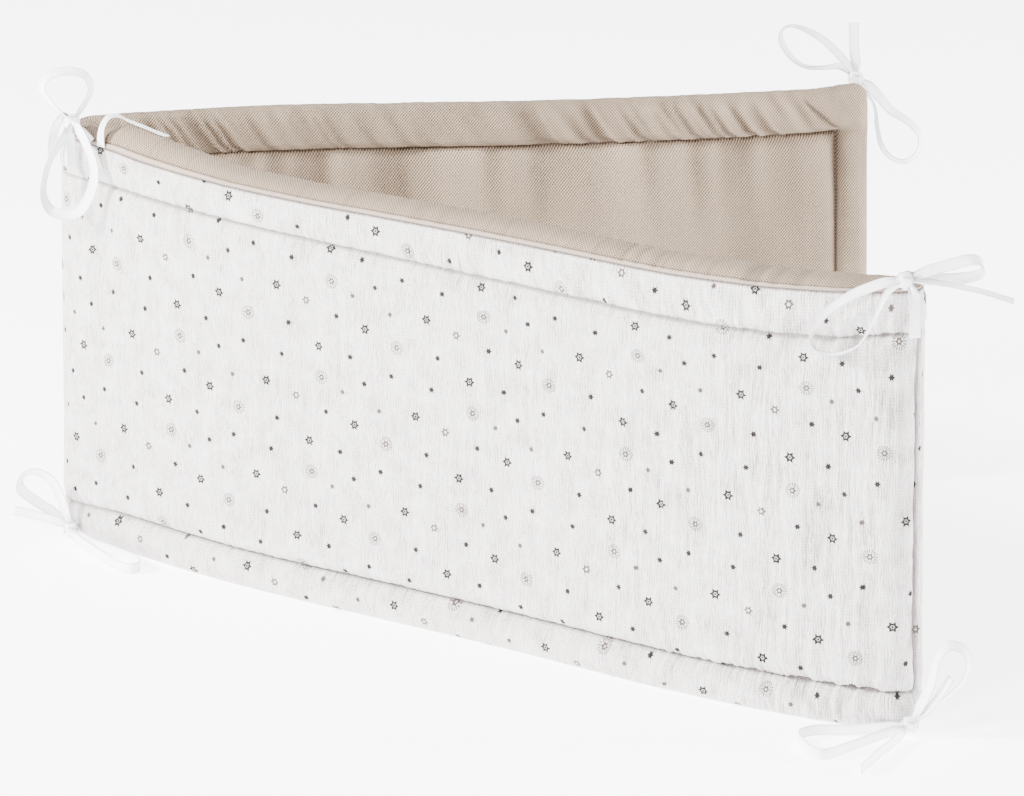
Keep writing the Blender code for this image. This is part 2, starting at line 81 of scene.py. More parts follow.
MIDDLE_START = (0.3742, -0.2840)
MIDDLE_START_HEADING = -90.0
MIDDLE_ARCS = (
    # name, length, turn in degrees (left is positive)
    ("front end border, turned back", 0.028, 0.0),
    ("bend at the end stitching", 0.017, -112.0),
    ("front wing, outer third", 0.270, -14.0),
    ("front wing, middle", 0.300, 4.0),
    ("front wing, by the fold", 0.304, -12.5),
    ("fold", 0.050, -114.0),
    ("back wing, by the fold", 0.330, -20.5),
    ("back wing, outer half", 0.412, 11.5),
)
PANEL_LENGTH = sum(length for _, length, _ in MIDDLE_ARCS)
FOLD_START = sum(length for _, length, _ in MIDDLE_ARCS[:5])
FOLD_MIDDLE = FOLD_START + MIDDLE_ARCS[5][1] / 2

TOP_EDGE = (
    # metres from the front end, height share, top border, how far the seam rises towards the crest
    (0.000, 1.010, 0.042, 0.0090),
    (0.050, 1.009, 0.045, 0.0080),
    (0.100, 1.002, 0.053, 0.0050),
    (0.160, 0.996, 0.055, 0.0030),
    (0.250, 0.991, 0.055, 0.0020),
    (0.450, 0.993, 0.054, 0.0010),
    (0.620, 0.990, 0.049, 0.0020),
    (0.720, 0.993, 0.047, 0.0020),
    (0.780, 1.008, 0.051, -0.0020),
    (0.830, 1.022, 0.054, -0.0050),
    (0.865, 1.028, 0.054, -0.0040),
    (0.900, 1.002, 0.044, 0.0070),
    (0.960, 1.003, 0.043, 0.0080),
    (1.250, 0.992, 0.043, 0.0030),
    (1.550, 0.998, 0.042, 0.0030),
    (1.660, 1.000, 0.041, 0.0050),
    (1.700, 1.008, 0.041, 0.0080),
)
OUTER_FACE = (
    # off the middle, height: from the floor up to the seam
    (0.0070, 0.0000),
    (0.0125, 0.0030),
    (0.0165, 0.0100),
    (0.0180, 0.0190),
    (0.0180, 0.0320),
    (0.0182, 0.0400),
    (0.0185, 0.0460),
    (0.0185, 0.0560),
    (0.0180, 0.0780),
    (0.0175, 0.1150),
    (0.0175, 0.2050),
    (0.0175, 0.2920),
    (0.0175, 0.3340),
    (0.0175, 0.3500),
    (0.0178, 0.3600),
    (0.0180, 0.3690),
    (0.0170, 0.3775),
    (0.0146, 0.3842),
)
INNER_FACE = (
    # off the middle, height: from the seam over the crest and down to the floor
    (0.0146, 0.3842),
    (0.0149, 0.3862),
    (0.0143, 0.3880),
    (0.0131, 0.3887),
    (0.0121, 0.3880),
    (0.0112, 0.3908),
    (0.0080, 0.3948),
    (0.0035, 0.3978),
    (-0.0010, 0.3994),
    (-0.0070, 0.4000),
    (-0.0125, 0.3970),
    (-0.0165, 0.3900),
    (-0.0182, 0.3800),
    (-0.0182, 0.3680),
    (-0.0180, 0.3590),
    (-0.0175, 0.3500),
    (-0.0175, 0.3400),
    (-0.0175, 0.3260),
    (-0.0175, 0.2450),
    (-0.0175, 0.1550),
    (-0.0175, 0.1100),
    (-0.0180, 0.0700),
    (-0.0182, 0.0410),
    (-0.0180, 0.0310),
    (-0.0178, 0.0220),
    (-0.0160, 0.0100),
    (-0.0125, 0.0030),
    (-0.0070, 0.0000),
)
STRIP_ROWS = (0.0150, 0.0123)  # off the middle: the light strip of pique next to the seam
FACE_FROM = 0.0069  # a face's own rows are further off the middle than this
SEAMS = (
    # off the middle, height, reach: the lines that are sewn along the top, and how far the painted shade
    # along them reaches
    (0.0146, 0.3842, 0.0019),
    (0.0121, 0.3880, 0.0016),
)

CREASES = {
    # side (1 outer, -1 inner): metres from the front end, height, half length, tilt in degrees from
    # upright, depth, half width
    1: (
        (0.120, 0.366, 0.020, -20.0, 0.0030, 0.010),
        (0.180, 0.366, 0.020, -24.0, 0.0035, 0.011),
        (0.250, 0.366, 0.020, -28.0, 0.0030, 0.011),
        (0.330, 0.366, 0.020, -24.0, 0.0030, 0.011),
        (0.085, 0.020, 0.014, 10.0, 0.0030, 0.010),
        (0.420, 0.250, 0.110, 3.0, 0.0025, 0.022),
        (0.640, 0.220, 0.120, -3.0, 0.0025, 0.022),
        (0.880, 0.300, 0.060, -8.0, 0.0030, 0.014),
    ),
    -1: (
        (1.010, 0.372, 0.020, 22.0, 0.0040, 0.010),
        (1.052, 0.374, 0.022, 24.0, 0.0045, 0.010),
        (1.100, 0.372, 0.022, 26.0, 0.0040, 0.011),
        (1.165, 0.374, 0.020, 18.0, 0.0025, 0.011),
        (1.300, 0.374, 0.020, -14.0, 0.0020, 0.012),
        (1.400, 0.372, 0.022, 24.0, 0.0040, 0.011),
        (1.450, 0.374, 0.022, 26.0, 0.0045, 0.011),
        (1.505, 0.372, 0.022, 30.0, 0.0040, 0.011),
        (1.570, 0.376, 0.018, 34.0, 0.0030, 0.011),
        (1.110, 0.315, 0.040, 6.0, 0.0030, 0.014),
        (1.190, 0.300, 0.050, -4.0, 0.0030, 0.016),
        (1.270, 0.310, 0.045, 5.0, 0.0035, 0.016),
        (1.400, 0.300, 0.055, -3.0, 0.0030, 0.018),
    ),
}
BORDER_CREASE = 0.45  # the inner border's troughs are shallower, as fine folds lie over them
CREASE_FADE = 0.010  # the outer side's troughs end this far below the seam
PLEATS = (
    # metres from the front end, height, half length, tilt: the mitred corners of the inner side
    (1.662, 0.376, 0.023, 47.0),
    (1.662, 0.018, 0.020, -47.0),
    (0.049, 0.372, 0.020, -47.0),
    (0.049, 0.018, 0.020, 47.0),
)
PLEAT_HALF_WIDTH = 0.0023
PLEAT_DEPTH = 0.0045

# How strong the fine relief is along the panel: metres from the front end, and a share.
CRINKLES_ALONG = ((0.0, 2.3), (0.10, 2.2), (0.22, 1.6), (0.40, 1.05), (0.60, 0.80), (0.90, 0.70),
                  (PANEL_LENGTH, 0.95))
GATHERS_ALONG = ((0.60, 1.0), (0.75, 0.3), (1.0, 0.3), (1.1, 1.0))
FANS_ALONG = ((0.02, 0.5), (0.06, 1.0), (0.34, 1.0), (0.46, 0.15))
SLANTS_ALONG = ((0.0, 0.6), (0.90, 0.8), (0.98, 1.9), (1.10, 1.9), (1.18, 0.75), (1.36, 0.75),
                (1.42, 2.2), (1.62, 2.2), (1.66, 0.5), (PANEL_LENGTH, 0.5))
ROLL_ALONG = ((0.0, 0.5), (0.08, 0.6), (0.14, 1.4), (0.30, 1.4), (0.36, 0.6), (0.70, 0.5), (0.90, 0.8),
              (1.0, 0.7))
RELIEF_FADES = (0.006, 0.008, 0.006)  # it fades out this near to the floor, the ends and the seam
END_RELIEF = 0.15  # the share of it that is left at the ends

# How close the columns of a side are: metres from the front end, and the spacing from there on.
OUTER_COLUMNS = ((0.0, 0.0011), (0.95, 0.0033), (1.672, 0.0012), (1.684, 0.0020))
INNER_COLUMNS = ((0.0, 0.0020), (0.027, 0.0012), (0.039, 0.0024), (0.95, 0.0020), (1.672, 0.0012),
                 (1.684, 0.0020))
LINE_REACH = 0.0042  # the rows are closest within this distance of the frame line
ROW_STEPS = {
    # side: the step on the crest, at the line, near it, in the top border, by the floor and elsewhere, and
    # how near and how low
    1: (0.0025, 0.0011, 0.0025, 0.0025, 0.0028, 0.0090, 0.016, 0.020),
    -1: (0.0012, 0.0012, 0.0026, 0.0030, 0.0030, 0.0085, 0.014, 0.022),
}

THREAD_SHADE = 0.0023  # the reach of the painted shade along the thread's crease
END_SHADE = 0.0034  # and along the outer side's ends
FOLD_SHADE = 0.25  # how much fainter the painted shade is round the outside of the fold
FOLD_SHADE_REACH = 1.3 * FOLD_REACH
PLEAT_SHADE = 0.6  # how dark the painted shade in a pleat is

STITCH_PITCH = 0.0034
STITCH_LENGTH = 0.0026
STITCH_HALF_WIDTH = 0.0003
STITCH_LIFT = 0.0003  # off the cloth
STITCH_RINGS = (
    # share of the length, share of the width, lift
    (-0.5, 0.35, -0.0004),
    (-0.25, 1.0, 0.0),
    (0.25, 1.0, 0.0),
    (0.5, 0.35, -0.0004),
)

# --- the ribbon ties, with the same routes as in the solids ---
RIBBON_WIDTH = 0.010
RIBBON_THICKNESS = 0.0008
RIBBON_STEP = 0.0025
KNOT_REACH = 0.016  # the ribbon is gathered up over this distance on its way into a knot
KNOT_GATHER = 0.42  # to this share of its width
KNOT_HALF = (0.0080, 0.0060, 0.0068)  # the knot's half length, depth and height
KNOT_CLOTH = (0.016, 0.036)  # the ribbon along it and round it
RIBBON_PLEATS = 0.0007  # the depth of the small pleats that run into a knot
RIBBON_CUP = 0.00045  # how far the ribbon's edges stand off its middle
RIBBON_EDGE = 1.25  # its edges are a little thicker
FLOOR_GAP = 0.0004  # a ribbon lies this far above the floor
# At a turn of 0 the face of a "front" ribbon points forwards, and the width of an "edge" ribbon points up.
HELD = {"front": (0.0, -1.0, 0.0), "edge": (0.0, 0.0, 1.0)}
# Each tie: its knot's place, the way its knot is wound, its runs in millimetres from the knot with the
# ribbon's turn in degrees, and the runs that make up each strand with what the strand ends in.
TIES = (
    ("tie_front_top", (0.3622, -0.3380, 0.4080), "x", (
        ("front", ((1, 5, -10, 0), (1, 3, -6, 0), (0, 1, 0, 0))),
        ("front", ((0, -1, 0, 10), (-10, -1, 0, 10), (-28, 1, -6, 12), (-48, 6, -17, 22),
            (-65, 12, -33, 42), (-76, 16, -53, 68), (-73, 15, -65, 88), (-60, 10, -68, 98),
            (-47, 4, -64, 102), (-35, -1, -54, 106), (-24, -5, -31, 114), (-14, -5, -9, 135),
            (0, -4, 0, 170))),
        ("front", ((0, 2, 0, 0), (21, 2, 8, 10), (38, 2, 13, 15), (54, 2, 17, 35), (64, 3, 13, 80),
            (62, 5, 4, 120), (48, 6, 0, 150), (30, 6, -1, 160), (0, 5, 0, 170))),
        ("front", ((0, 0, 1, 60), (16, 0, -1, 78), (38, -2, -4, 80), (63, -4, -9, 80),
            (90, -6, -17, 78))),
        ("front", ((2, -2, 0, 0), (7, -8, -10, 10), (8, -11, -20, 15), (8, -13, -33, 10),
            (8, -13, -46, 5))),
    ), (((0, 1, 3), "bare"), ((2, 4), "bare"))),
    ("tie_front_bottom", (0.3759, -0.3398, 0.0120), "x", (
        ("edge", ((-3, 6, 1, 0), (-2, 4, 0, 0), (0, 1, 0, 0))),
        ("edge", ((0, -1, 0, 0), (-14, 4, -3, 0), (-50, 4, -6, 0), (-80, 3, -6, 0), (-95, -8, -6, 0),
            (-93, -28, -6, 0), (-84, -48, -6, 0), (-73, -50, -6, 0), (-53, -35, -6, 0),
            (-26, -12, -5, 0), (0, -4, 0, 0))),
        ("front", ((0, 1, 0, 40), (8, 1, 15, 45), (17, 1, 36, 50), (22, 1, 60, 54), (31, 2, 71, 50),
            (43, 2, 68, 50), (49, 3, 56, 52), (45, 4, 40, 55), (34, 5, 26, 52), (14, 5, 9, 45),
            (0, 4, 0, 35))),
        ("edge", ((-2, -2, 0, 0), (-10, -14, -5, 0), (-28, -46, -6, 0), (-47, -82, -6, 0))),
        ("front", ((0, -1, 1, 60), (11, -2, 10, 66), (23, -3, 25, 66), (34, -3, 44, 60))),
    ), (((0, 1, 4), "bare"), ((2, 3), "bare"))),
    ("tie_back_top", (0.3652, 0.3360, 0.4020), "x", (
        ("front", ((0, -3, -9, 0), (0, -2, -5, 0), (0, 1, 0, 0))),
        ("front", ((0, 1, 0, 30), (-9, 1, 15, 35), (-30, 1, 37, 40), (-50, 1, 49, 52), (-64, 1, 52, 62),
            (-72, 1, 46, 62), (-71, 2, 34, 60), (-61, 3, 19, 70), (-47, 4, 10, 82), (-30, 5, 9, 84),
            (-14, 5, 10, 65), (0, 4, 0, 40))),
        ("front", ((0, -1, 0, 20), (12, -1, -6, 20), (23, -1, -18, 30), (34, -1, -31, 45),
            (46, -1, -39, 56), (57, -1, -48, 62), (63, -1, -59, 62), (60, -2, -73, 58),
            (49, -3, -81, 50), (36, -4, -77, 52), (27, -4, -66, 60), (22, -4, -48, 70),
            (18, -3, -24, 76), (0, -3, 0, 45))),
        ("front", ((0, 0, 1, 15), (0, 0, 14, 15), (-2, 0, 32, 20), (-3, 0, 55, 15))),
        ("front", ((0, 2, 0, 10), (3, 9, -6, 10), (3, 12, -20, 10), (1, 12, -46, 15),
            (-1, 11, -74, 20))),
    ), (((0, 1, 4), "bare"), ((2, 3), "bare"))),
    ("tie_back_bottom", (0.3707, 0.3395, 0.0120), "x", (
        ("edge", ((-1, -5, 2, 0), (0, -3, 1, 0), (0, -1, 0, 0))),
        ("edge", ((0, 1, 0, 0), (-14, 8, -4, 0), (-36, 14, -6, 0), (-56, 15, -6, 0), (-68, 8, -6, 0),
            (-58, 1, -6, 0), (-40, 0, -6, 0), (-20, 2, -5, 0), (0, 3, 0, 0))),
        ("edge", ((0, -1, 0, 0), (12, 5, -3, 0), (24, 14, -6, 0), (30, 26, -6, 0), (22, 34, -6, 0),
            (10, 30, -6, 0), (4, 19, -6, 0), (2, 9, -4, 0), (0, 4, 0, 0))),
        ("edge", ((2, -1, 0, 0), (16, -3, -5, 0), (30, -12, -6, 0), (38, -30, -6, 0))),
        ("edge", ((-2, 2, 0, 0), (-10, 16, -5, 0), (-20, 26, -6, 0), (-32, 36, -6, 0))),
    ), (((0, 1, 3), "bare"), ((2, 4), "bare"))),
    ("tie_fold_top", (-0.3683, 0.1545, 0.4085), "z", (
        ("front", ((17.6, -17.2, -14.2, 0), (13, -14.4, -9.4, 0), (6, -8, -4, 0), (0, -1, 0, 0))),
        ("front", ((0, 1, 0, 45), (-10, 2, 9, 65), (-21, 3, 20, 50), (-28, 4, 30, 35), (-25, 4, 39, 48),
            (-16, 5, 45, 50), (-2, 5, 47, 52), (12, 5, 43, 60), (17, 4, 31, 62), (12, 4, 19, 58),
            (0, 3, 0, 45))),
        ("front", ((0, -1, 0, 40), (-3, -9, -4, 40), (-14, -15, -20, 50), (-23, -20, -38, 60),
            (-27, -24, -60, 62), (-22, -28, -74, 45), (-13, -30, -79, 30), (-1, -30, -80, 20),
            (9, -32, -74, 20), (20, -36, -53, 25), (22, -37, -32, 30), (16, -30, -15, 30),
            (7, -17, -2, 20), (0, -4, 1, 10))),
        ("front", ((0, 2, 0, 30), (-8, 6, 6, 35), (-16, 8, -5, 40), (-20, 8, -19, 40),
            (-20, 8, -35, 35))),
        ("front", ((0, -2, 0, 10), (-2, -12, -7, 20), (0, -19, -21, 30), (1, -23, -37, 30))),
    ), (((0, 1, 3), "bare"), ((2, 4), "bare"))),
    ("tie_fold_bottom", (-0.3795, 0.1453, 0.0120), "x", (
        ("edge", ((5.8, 5.4, 1.5, 0), (3, 3, 1, 0), (0, 0, 0, 0))),
        ("front", ((0, 1, 0, 20), (-5, 1, 16, 20), (-8, 1, 30, 25), (-17, 2, 49, 25), (-30, 2, 58, 30),
            (-42, 3, 56, 50), (-48, 3, 48, 60), (-46, 4, 38, 20), (-34, 5, 28, 15), (-16, 5, 15, 15),
            (0, 4, 0, 10))),
        ("edge", ((0, -1, 0, 0), (14, -14, -4, 0), (27, -25, -6, 0), (46, -43, -6, 0), (62, -60, -6, 0),
            (70, -76, -6, 0), (64, -87, -6, 0), (52, -80, -6, 0), (35, -56, -6, 0), (14, -26, -4, 0),
            (-1, -6, 0, 0))),
        ("front", ((0, -1, 1, 10), (-8, -2, 8, 10), (-28, -3, 15, 15), (-54, -4, 22, 10))),
    ), (((0, 1, 3), "bare"), ((2,), "knot"))),
    ("tie_fold_inner", (-0.3399, 0.1276, 0.3925), None, (
        ("front", ((0, 0, 0, 43), (0, 0, 8, 48), (1, 3, 17, 60), (6, 8, 25, 75), (14, 12, 26, 90),
            (23, 12, 22, 98), (31, 5, 20.5, 100), (40, -4, 19.5, 100), (50, -13, 18, 100),
            (61, -24, 16.8, 100))),
    ), (((0,), "bare"),)),
)


# --- small tools ---
def noise(u, v, seed):
    """Smooth noise from -1 to 1, with one feature for each unit of u and of v."""
    size = 512
    table = np.random.default_rng(seed).uniform(-1.0, 1.0, (size, size))
    u, v = np.broadcast_arrays(u, v)
    i, j = np.floor(u).astype(int), np.floor(v).astype(int)
    a, b = u - i, v - j
    a, b = a * a * (3.0 - 2.0 * a), b * b * (3.0 - 2.0 * b)
    i0, i1, j0, j1 = i % size, (i + 1) % size, j % size, (j + 1) % size
    low = table[i0, j0] * (1.0 - a) + table[i1, j0] * a
    high = table[i0, j1] * (1.0 - a) + table[i1, j1] * a
    return low * (1.0 - b) + high * b


def smooth_curve(table, per_row):
    """A table's rows as one smooth curve through them."""
    table = np.array(table, float)
    ends = np.vstack([2 * table[0] - table[1], table, 2 * table[-1] - table[-2]])
    steps = np.linspace(0.0, 1.0, per_row, endpoint=False)[:, None]
    fine = [0.5 * (2 * b + (c - a) * steps + (2 * a - 5 * b + 4 * c - d) * steps ** 2
                   + (3 * b - a - 3 * c + d) * steps ** 3)
            for a, b, c, d in zip(ends, ends[1:], ends[2:], ends[3:])]
    return np.vstack(fine + [table[-1:]])


def clamped(share):
    return np.clip(share, 0.0, 1.0)


def run_lengths(points):
    """The distance along a line of points, at each of them."""
    return np.concatenate([[0.0], np.cumsum(np.linalg.norm(np.diff(points, axis=0), axis=1))])


def from_table(along, table):
    """A value between the rows of a table along the panel."""
    return np.interp(along, *np.array(table).T)


def add_object(name, data):
    """A new object in the scene, made from its mesh, light or camera."""
    obj = bpy.data.objects.new(name, data)
    bpy.context.scene.collection.objects.link(obj)
    return obj


def make_mesh(name, points, faces, material, uv=None, fields=None):
    """A smooth-shaded object from arrays of points and faces, with its cloth coordinates and fields."""
    mesh = bpy.data.meshes.new(name)
    mesh.from_pydata(points.tolist(), [], faces)
    if uv is not None:
        layer = mesh.uv_layers.new(name="cloth")
        corners = np.zeros(len(mesh.loops), np.int32)
        mesh.loops.foreach_get("vertex_index", corners)
        layer.data.foreach_set("uv", uv[corners].astype(np.float32).ravel())
    for key, values in (fields or {}).items():
        attribute = mesh.attributes.new(key, "FLOAT", "POINT")
        attribute.data.foreach_set("value", values.astype(np.float32).ravel())
    mesh.materials.append(material)
    mesh.shade_smooth()
    mesh.update()
    return add_object(name, mesh)


def ring_faces(columns, ring):
    """The quads of a closed tube of rings, with its two caps."""
    i = np.arange(columns - 1)[:, None] * ring
    j = np.arange(ring)[None, :]
    k = (j + 1) % ring
    quads = np.stack([i + j, i + k, i + ring + k, i + ring + j], axis=-1).reshape(-1, 4).tolist()
    first = list(range(ring))[::-1]
    last = [(columns - 1) * ring + n for n in range(ring)]
    return quads + [first, last]


def make_tube(name, points, u, v, fields, material, flip=True):
    """A closed tube from a grid of points, ring by ring, with cloth coordinates along it and round it."""
    faces = ring_faces(*points.shape[:2])
    if flip:
        faces = [face[::-1] for face in faces]
    cloth = np.stack(np.broadcast_arrays(u[:, None], v[None, :]), axis=-1)
    return make_mesh(name, points.reshape(-1, 3), faces, material, cloth.reshape(-1, 2), fields)


# --- the panel's shape ---
def middle_line():
    """The middle of the panel in plan: distances, x and y, half a millimetre apart."""
    step = 0.0005
    x, y = MIDDLE_START
    heading = math.radians(MIDDLE_START_HEADING)
    rows = [(0.0, x, y)]
    start = 0.0
    for _, length, turn in MIDDLE_ARCS:
        bend = math.radians(turn) / length
        count = round(length / step)
        for n in range(1, count + 1):
            part = length * n / count
            if abs(bend) < 1e-9:
                dx, dy = part * math.cos(heading), part * math.sin(heading)
            else:
                dx = (math.sin(heading + bend * part) - math.sin(heading)) / bend
                dy = (math.cos(heading) - math.cos(heading + bend * part)) / bend
            rows.append((start + part, x + dx, y + dy))
        x, y = rows[-1][1:]
        heading += bend * length
        start += length
    return np.array(rows).T


MIDDLE = middle_line()


def middle_at(along):
    """The middle's x and y at a distance along the panel."""
    return [np.interp(along, MIDDLE[0], row) for row in MIDDLE[1:]]


def top_edge(along):
    """The height share, the top border and the seam's rise at one place along, from the table."""
    table = np.array(TOP_EDGE).T
    return [np.interp(along, table[0], column) for column in table[1:]]


def end_distance(along):
    """The distance to the nearer end of the panel."""
    return np.minimum(along, PANEL_LENGTH - along)


def near_fold(along, reach):
    """One at the fold, fading out over a reach to each side."""
    return np.exp(-((along - FOLD_MIDDLE) / reach) ** 2)


def fullness(along):
    """The share of the full thickness, which falls off to the seam at each end."""
    edge = np.minimum(end_distance(along) / END_ROLL, 1.0)
    share = END_EDGE + (1.0 - END_EDGE) * np.sqrt(1.0 - (1.0 - edge) ** 2)
    turned = TURNED_SHARE + (1.0 - TURNED_SHARE) * clamped((along - BORDER_END) / TURNED_FADE)
    return share * turned


def corner_cut(along):
    """How far the rounded corner takes the top and the bottom edge back."""
    inside = CORNER_RADIUS - np.minimum(end_distance(along), CORNER_RADIUS)
    return CORNER_RADIUS - np.sqrt(CORNER_RADIUS ** 2 - inside ** 2)


def level(along, off, height):
    """The height of a row at one place along: the stitching and the seam aren't quite level."""
    along, off, height = np.broadcast_arrays(along, off, height)
    _, border, rise = top_edge(along)
    shift = BORDER_TOP - border
    below_line = shift * (height - SHIFT_FROM) / (STITCH_TOP - SHIFT_FROM)
    above_line = shift * (SEAM_FROM - height) / (SEAM_FROM - STITCH_TOP)
    to_seam = (height - SEAM_FROM) / (SEAM_HEIGHT - SEAM_FROM)
    to_crest = (HEIGHT - height) / (HEIGHT - SEAM_HEIGHT)
    moved = np.where(height <= SHIFT_FROM, 0.0, np.where(height <= STITCH_TOP, below_line, above_line))
    at_seam = rise * np.minimum(to_seam, to_crest)
    moved = np.where(height >= SEAM_FROM, np.where(off > 0.0, at_seam, 0.0), moved)
    return height + moved


def stitch_distance(along, height):
    """The distance to the stitched frame line, positive inside the frame."""
    past_end = BORDER_END - end_distance(along)
    past_edge = np.maximum(height - STITCH_TOP, BORDER_BOTTOM - height)
    outside = np.hypot(np.maximum(past_end, 0.0), np.maximum(past_edge, 0.0))
    return np.where(outside > 0.0, -outside, np.minimum(-past_end, -past_edge))


def groove(side, along, height):
    """How far the stitched frame line pulls a face in: a soft trough with a sharp crease at the thread."""
    gap = np.abs(stitch_distance(along, height))
    soft = GROOVE_DEPTH * clamped(1.0 - gap / GROOVE_WIDTH) ** 2.4
    sharp = THREAD_CREASE * clamped(1.0 - gap / THREAD_CREASE)
    if side < 0:
        return soft * INNER_GROOVE + sharp
    near_top = clamped((height - SHIFT_FROM) / TOP_GROOVE_FADE)
    share = 1.0 + (OUTER_TOP_GROOVE - 1.0) * near_top
    return (soft + sharp) * share * (1.0 - FOLD_FLATTENS * near_fold(along, FOLD_REACH))


def leaning(along, height, spot, middle, tilt):
    """The distances across and down from a spot on a line that leans by a tilt in degrees."""
    lean = math.radians(tilt)
    ahead, up = along - spot, height - middle
    return ahead * math.cos(lean) + up * math.sin(lean), up * math.cos(lean) - ahead * math.sin(lean)


def crease(side, along, height):
    """How far the soft troughs of one side go in."""
    depth = np.zeros(np.broadcast(along, height).shape)
    for spot, middle, reach, tilt, deep, wide in CREASES[side]:
        across, down = leaning(along, height, spot, middle, tilt)
        share = BORDER_CREASE if side < 0 and middle > STITCH_TOP else 1.0
        depth += share * deep * np.exp(-(across / wide) ** 2 - (down / reach) ** 4)
    if side > 0:
        depth *= clamped((SEAM_HEIGHT - height) / CREASE_FADE)
    return depth


def pleat(side, along, height):
    """The share, from 0 to 1, of the sharp pleats at the corners."""
    share = np.zeros(np.broadcast(along, height).shape)
    for spot, middle, reach, tilt in PLEATS if side < 0 else ():
        across, down = leaning(along, height, spot, middle, tilt)
        share += np.exp(-(across / PLEAT_HALF_WIDTH) ** 2 - (down / reach) ** 6)
    return share


def place(along, off, height):
    """Points in space, from distances along, off the middle and above the floor."""
    x, y = middle_at(along)
    x_before, y_before = middle_at(np.maximum(along - TURN_REACH, 0.0))
    x_after, y_after = middle_at(np.minimum(along + TURN_REACH, PANEL_LENGTH))
    heading = np.arctan2(y_after - y_before, x_after - x_before)
    cut = corner_cut(along)
    top = HEIGHT * top_edge(along)[0]
    z = cut + level(along, off, height) / HEIGHT * (top - 2.0 * cut)
    x = (x - off * np.sin(heading)) * (1.0 + FLOOR_SPREAD * (0.5 - z / HEIGHT))
    y = y + off * np.cos(heading)
    return np.stack(np.broadcast_arrays(x, y, z), axis=-1)


def row_step(side, height):
    """How far apart the rows of a side are at a height."""
    crest, line, near, border, low, elsewhere, near_reach, low_reach = ROW_STEPS[side]
    to_line = min(abs(height - STITCH_TOP), abs(height - BORDER_BOTTOM))
    if height > CREST_FROM:
        return crest
    if to_line < near_reach:
        return line if to_line < LINE_REACH else near
    if height > STITCH_TOP:
        return border
    return low if height < low_reach else elsewhere


def section_rows(side, face):
    """A face's section as closer rows: off, height and distance along the cloth."""
    fine = smooth_curve(face, per_row=24)
    run = run_lengths(fine)
    places = [0.0]
    while places[-1] < run[-1]:
        height = np.interp(places[-1], run, fine[:, 1])
        places.append(places[-1] + row_step(side, height))
    places = np.array(places) * run[-1] / places[-1]
    return np.interp(places, run, fine[:, 0]), np.interp(places, run, fine[:, 1]), places


def columns_along(steps):
    """Places along the panel, from a table of where a step starts and how long it is."""
    places = [0.0]
    for (start, step), end in zip(steps, [row[0] for row in steps[1:]] + [PANEL_LENGTH]):
        count = max(1, round((end - start) / step))
        places.extend(start + (end - start) * n / count for n in range(1, count + 1))
    return np.array(places)


def face_points(side, along, off, height):
    """The base surface of one side, before its fine relief."""
    share = fullness(along)
    full = off * share
    drawn = groove(side, along, height) + crease(side, along, height)
    drawn = (drawn + PLEAT_DEPTH * pleat(side, along, height)) * share
    if side > 0:
        return place(along, np.maximum(full - drawn, np.minimum(LEAST_HALF, full)), height)
    pressed = clamped((INNER_PRESSED_FROM - height) / PRESSED_FADE)
    squeezed = full * (1.0 - FOLD_PRESS * near_fold(along, FOLD_PRESS_REACH) * pressed)
    behind = np.minimum(squeezed + drawn * (height < CREST_FREE_FROM), np.maximum(-LEAST_HALF, full))
    return place(along, np.where(off < 0.0, behind, full), height)


def outward(points):
    """Unit normals of a grid of points that runs along the panel and along a side's section."""
    normal = -np.cross(np.gradient(points, axis=0), np.gradient(points, axis=1))
    return normal / np.linalg.norm(normal, axis=-1, keepdims=True)


def pinned(gap, peak):
    """A share that is nothing at a stitched line, full at the peak's distance and fades out beyond it."""
    return gap / peak * np.exp(1.0 - gap / peak)


def muslin_relief(along, height):
    """The crinkles of the muslin, in metres: long in height, fine along, stronger towards the front end.

    The sizes of the noises' features along and up are in millimetres here, and each has its own seed.
    """
    u, v = along * 1000.0, height * 1000.0
    wander = 3.4 * noise(u / 34, v / 22, 1) + 1.1 * noise(u / 9, v / 9, 21)
    ridges = 2.6 * np.abs(noise((u + wander) / 4.9, v / 46, 2)) - 0.9
    fine = noise((u + wander) / 2.6, v / 30, 3)
    breaks = noise((u + wander) / 4.0, v / 7.5, 22)
    broad = noise((u + 2.0 * wander) / 13, v / 95, 4)
    patches = 0.70 + 0.50 * noise(u / 58, v / 50, 5)
    crinkle = 0.48 * ridges + 0.30 * fine + 0.13 * breaks + 0.05 * broad
    crinkle = patches * from_table(along, CRINKLES_ALONG) * crinkle
    gathers = noise(u / 7.0, v / 60, 6) + 0.6 * noise(u / 3.7, v / 50, 7)
    gathers = gathers * from_table(along, GATHERS_ALONG)
    top_gap, bottom_gap = np.abs(height - STITCH_TOP), np.abs(height - BORDER_BOTTOM)
    crinkle += 0.75 * gathers * (pinned(top_gap, 0.005) + 0.45 * pinned(bottom_gap, 0.005))
    rise = clamped((height - STITCH_TOP) / (SEAM_HEIGHT - STITCH_TOP))
    fan = noise((u + 17.0 * (1.0 - rise) ** 2) / 5.2, rise * 1.2, 8)
    crinkle += 0.95 * fan * from_table(along, FANS_ALONG) * np.sin(math.pi * rise) ** 0.6
    end_gap = np.abs(end_distance(along) - BORDER_END)
    crinkle += 0.6 * noise(v / 7.0, u / 40, 9) * pinned(end_gap, 0.005)
    return crinkle * 0.001


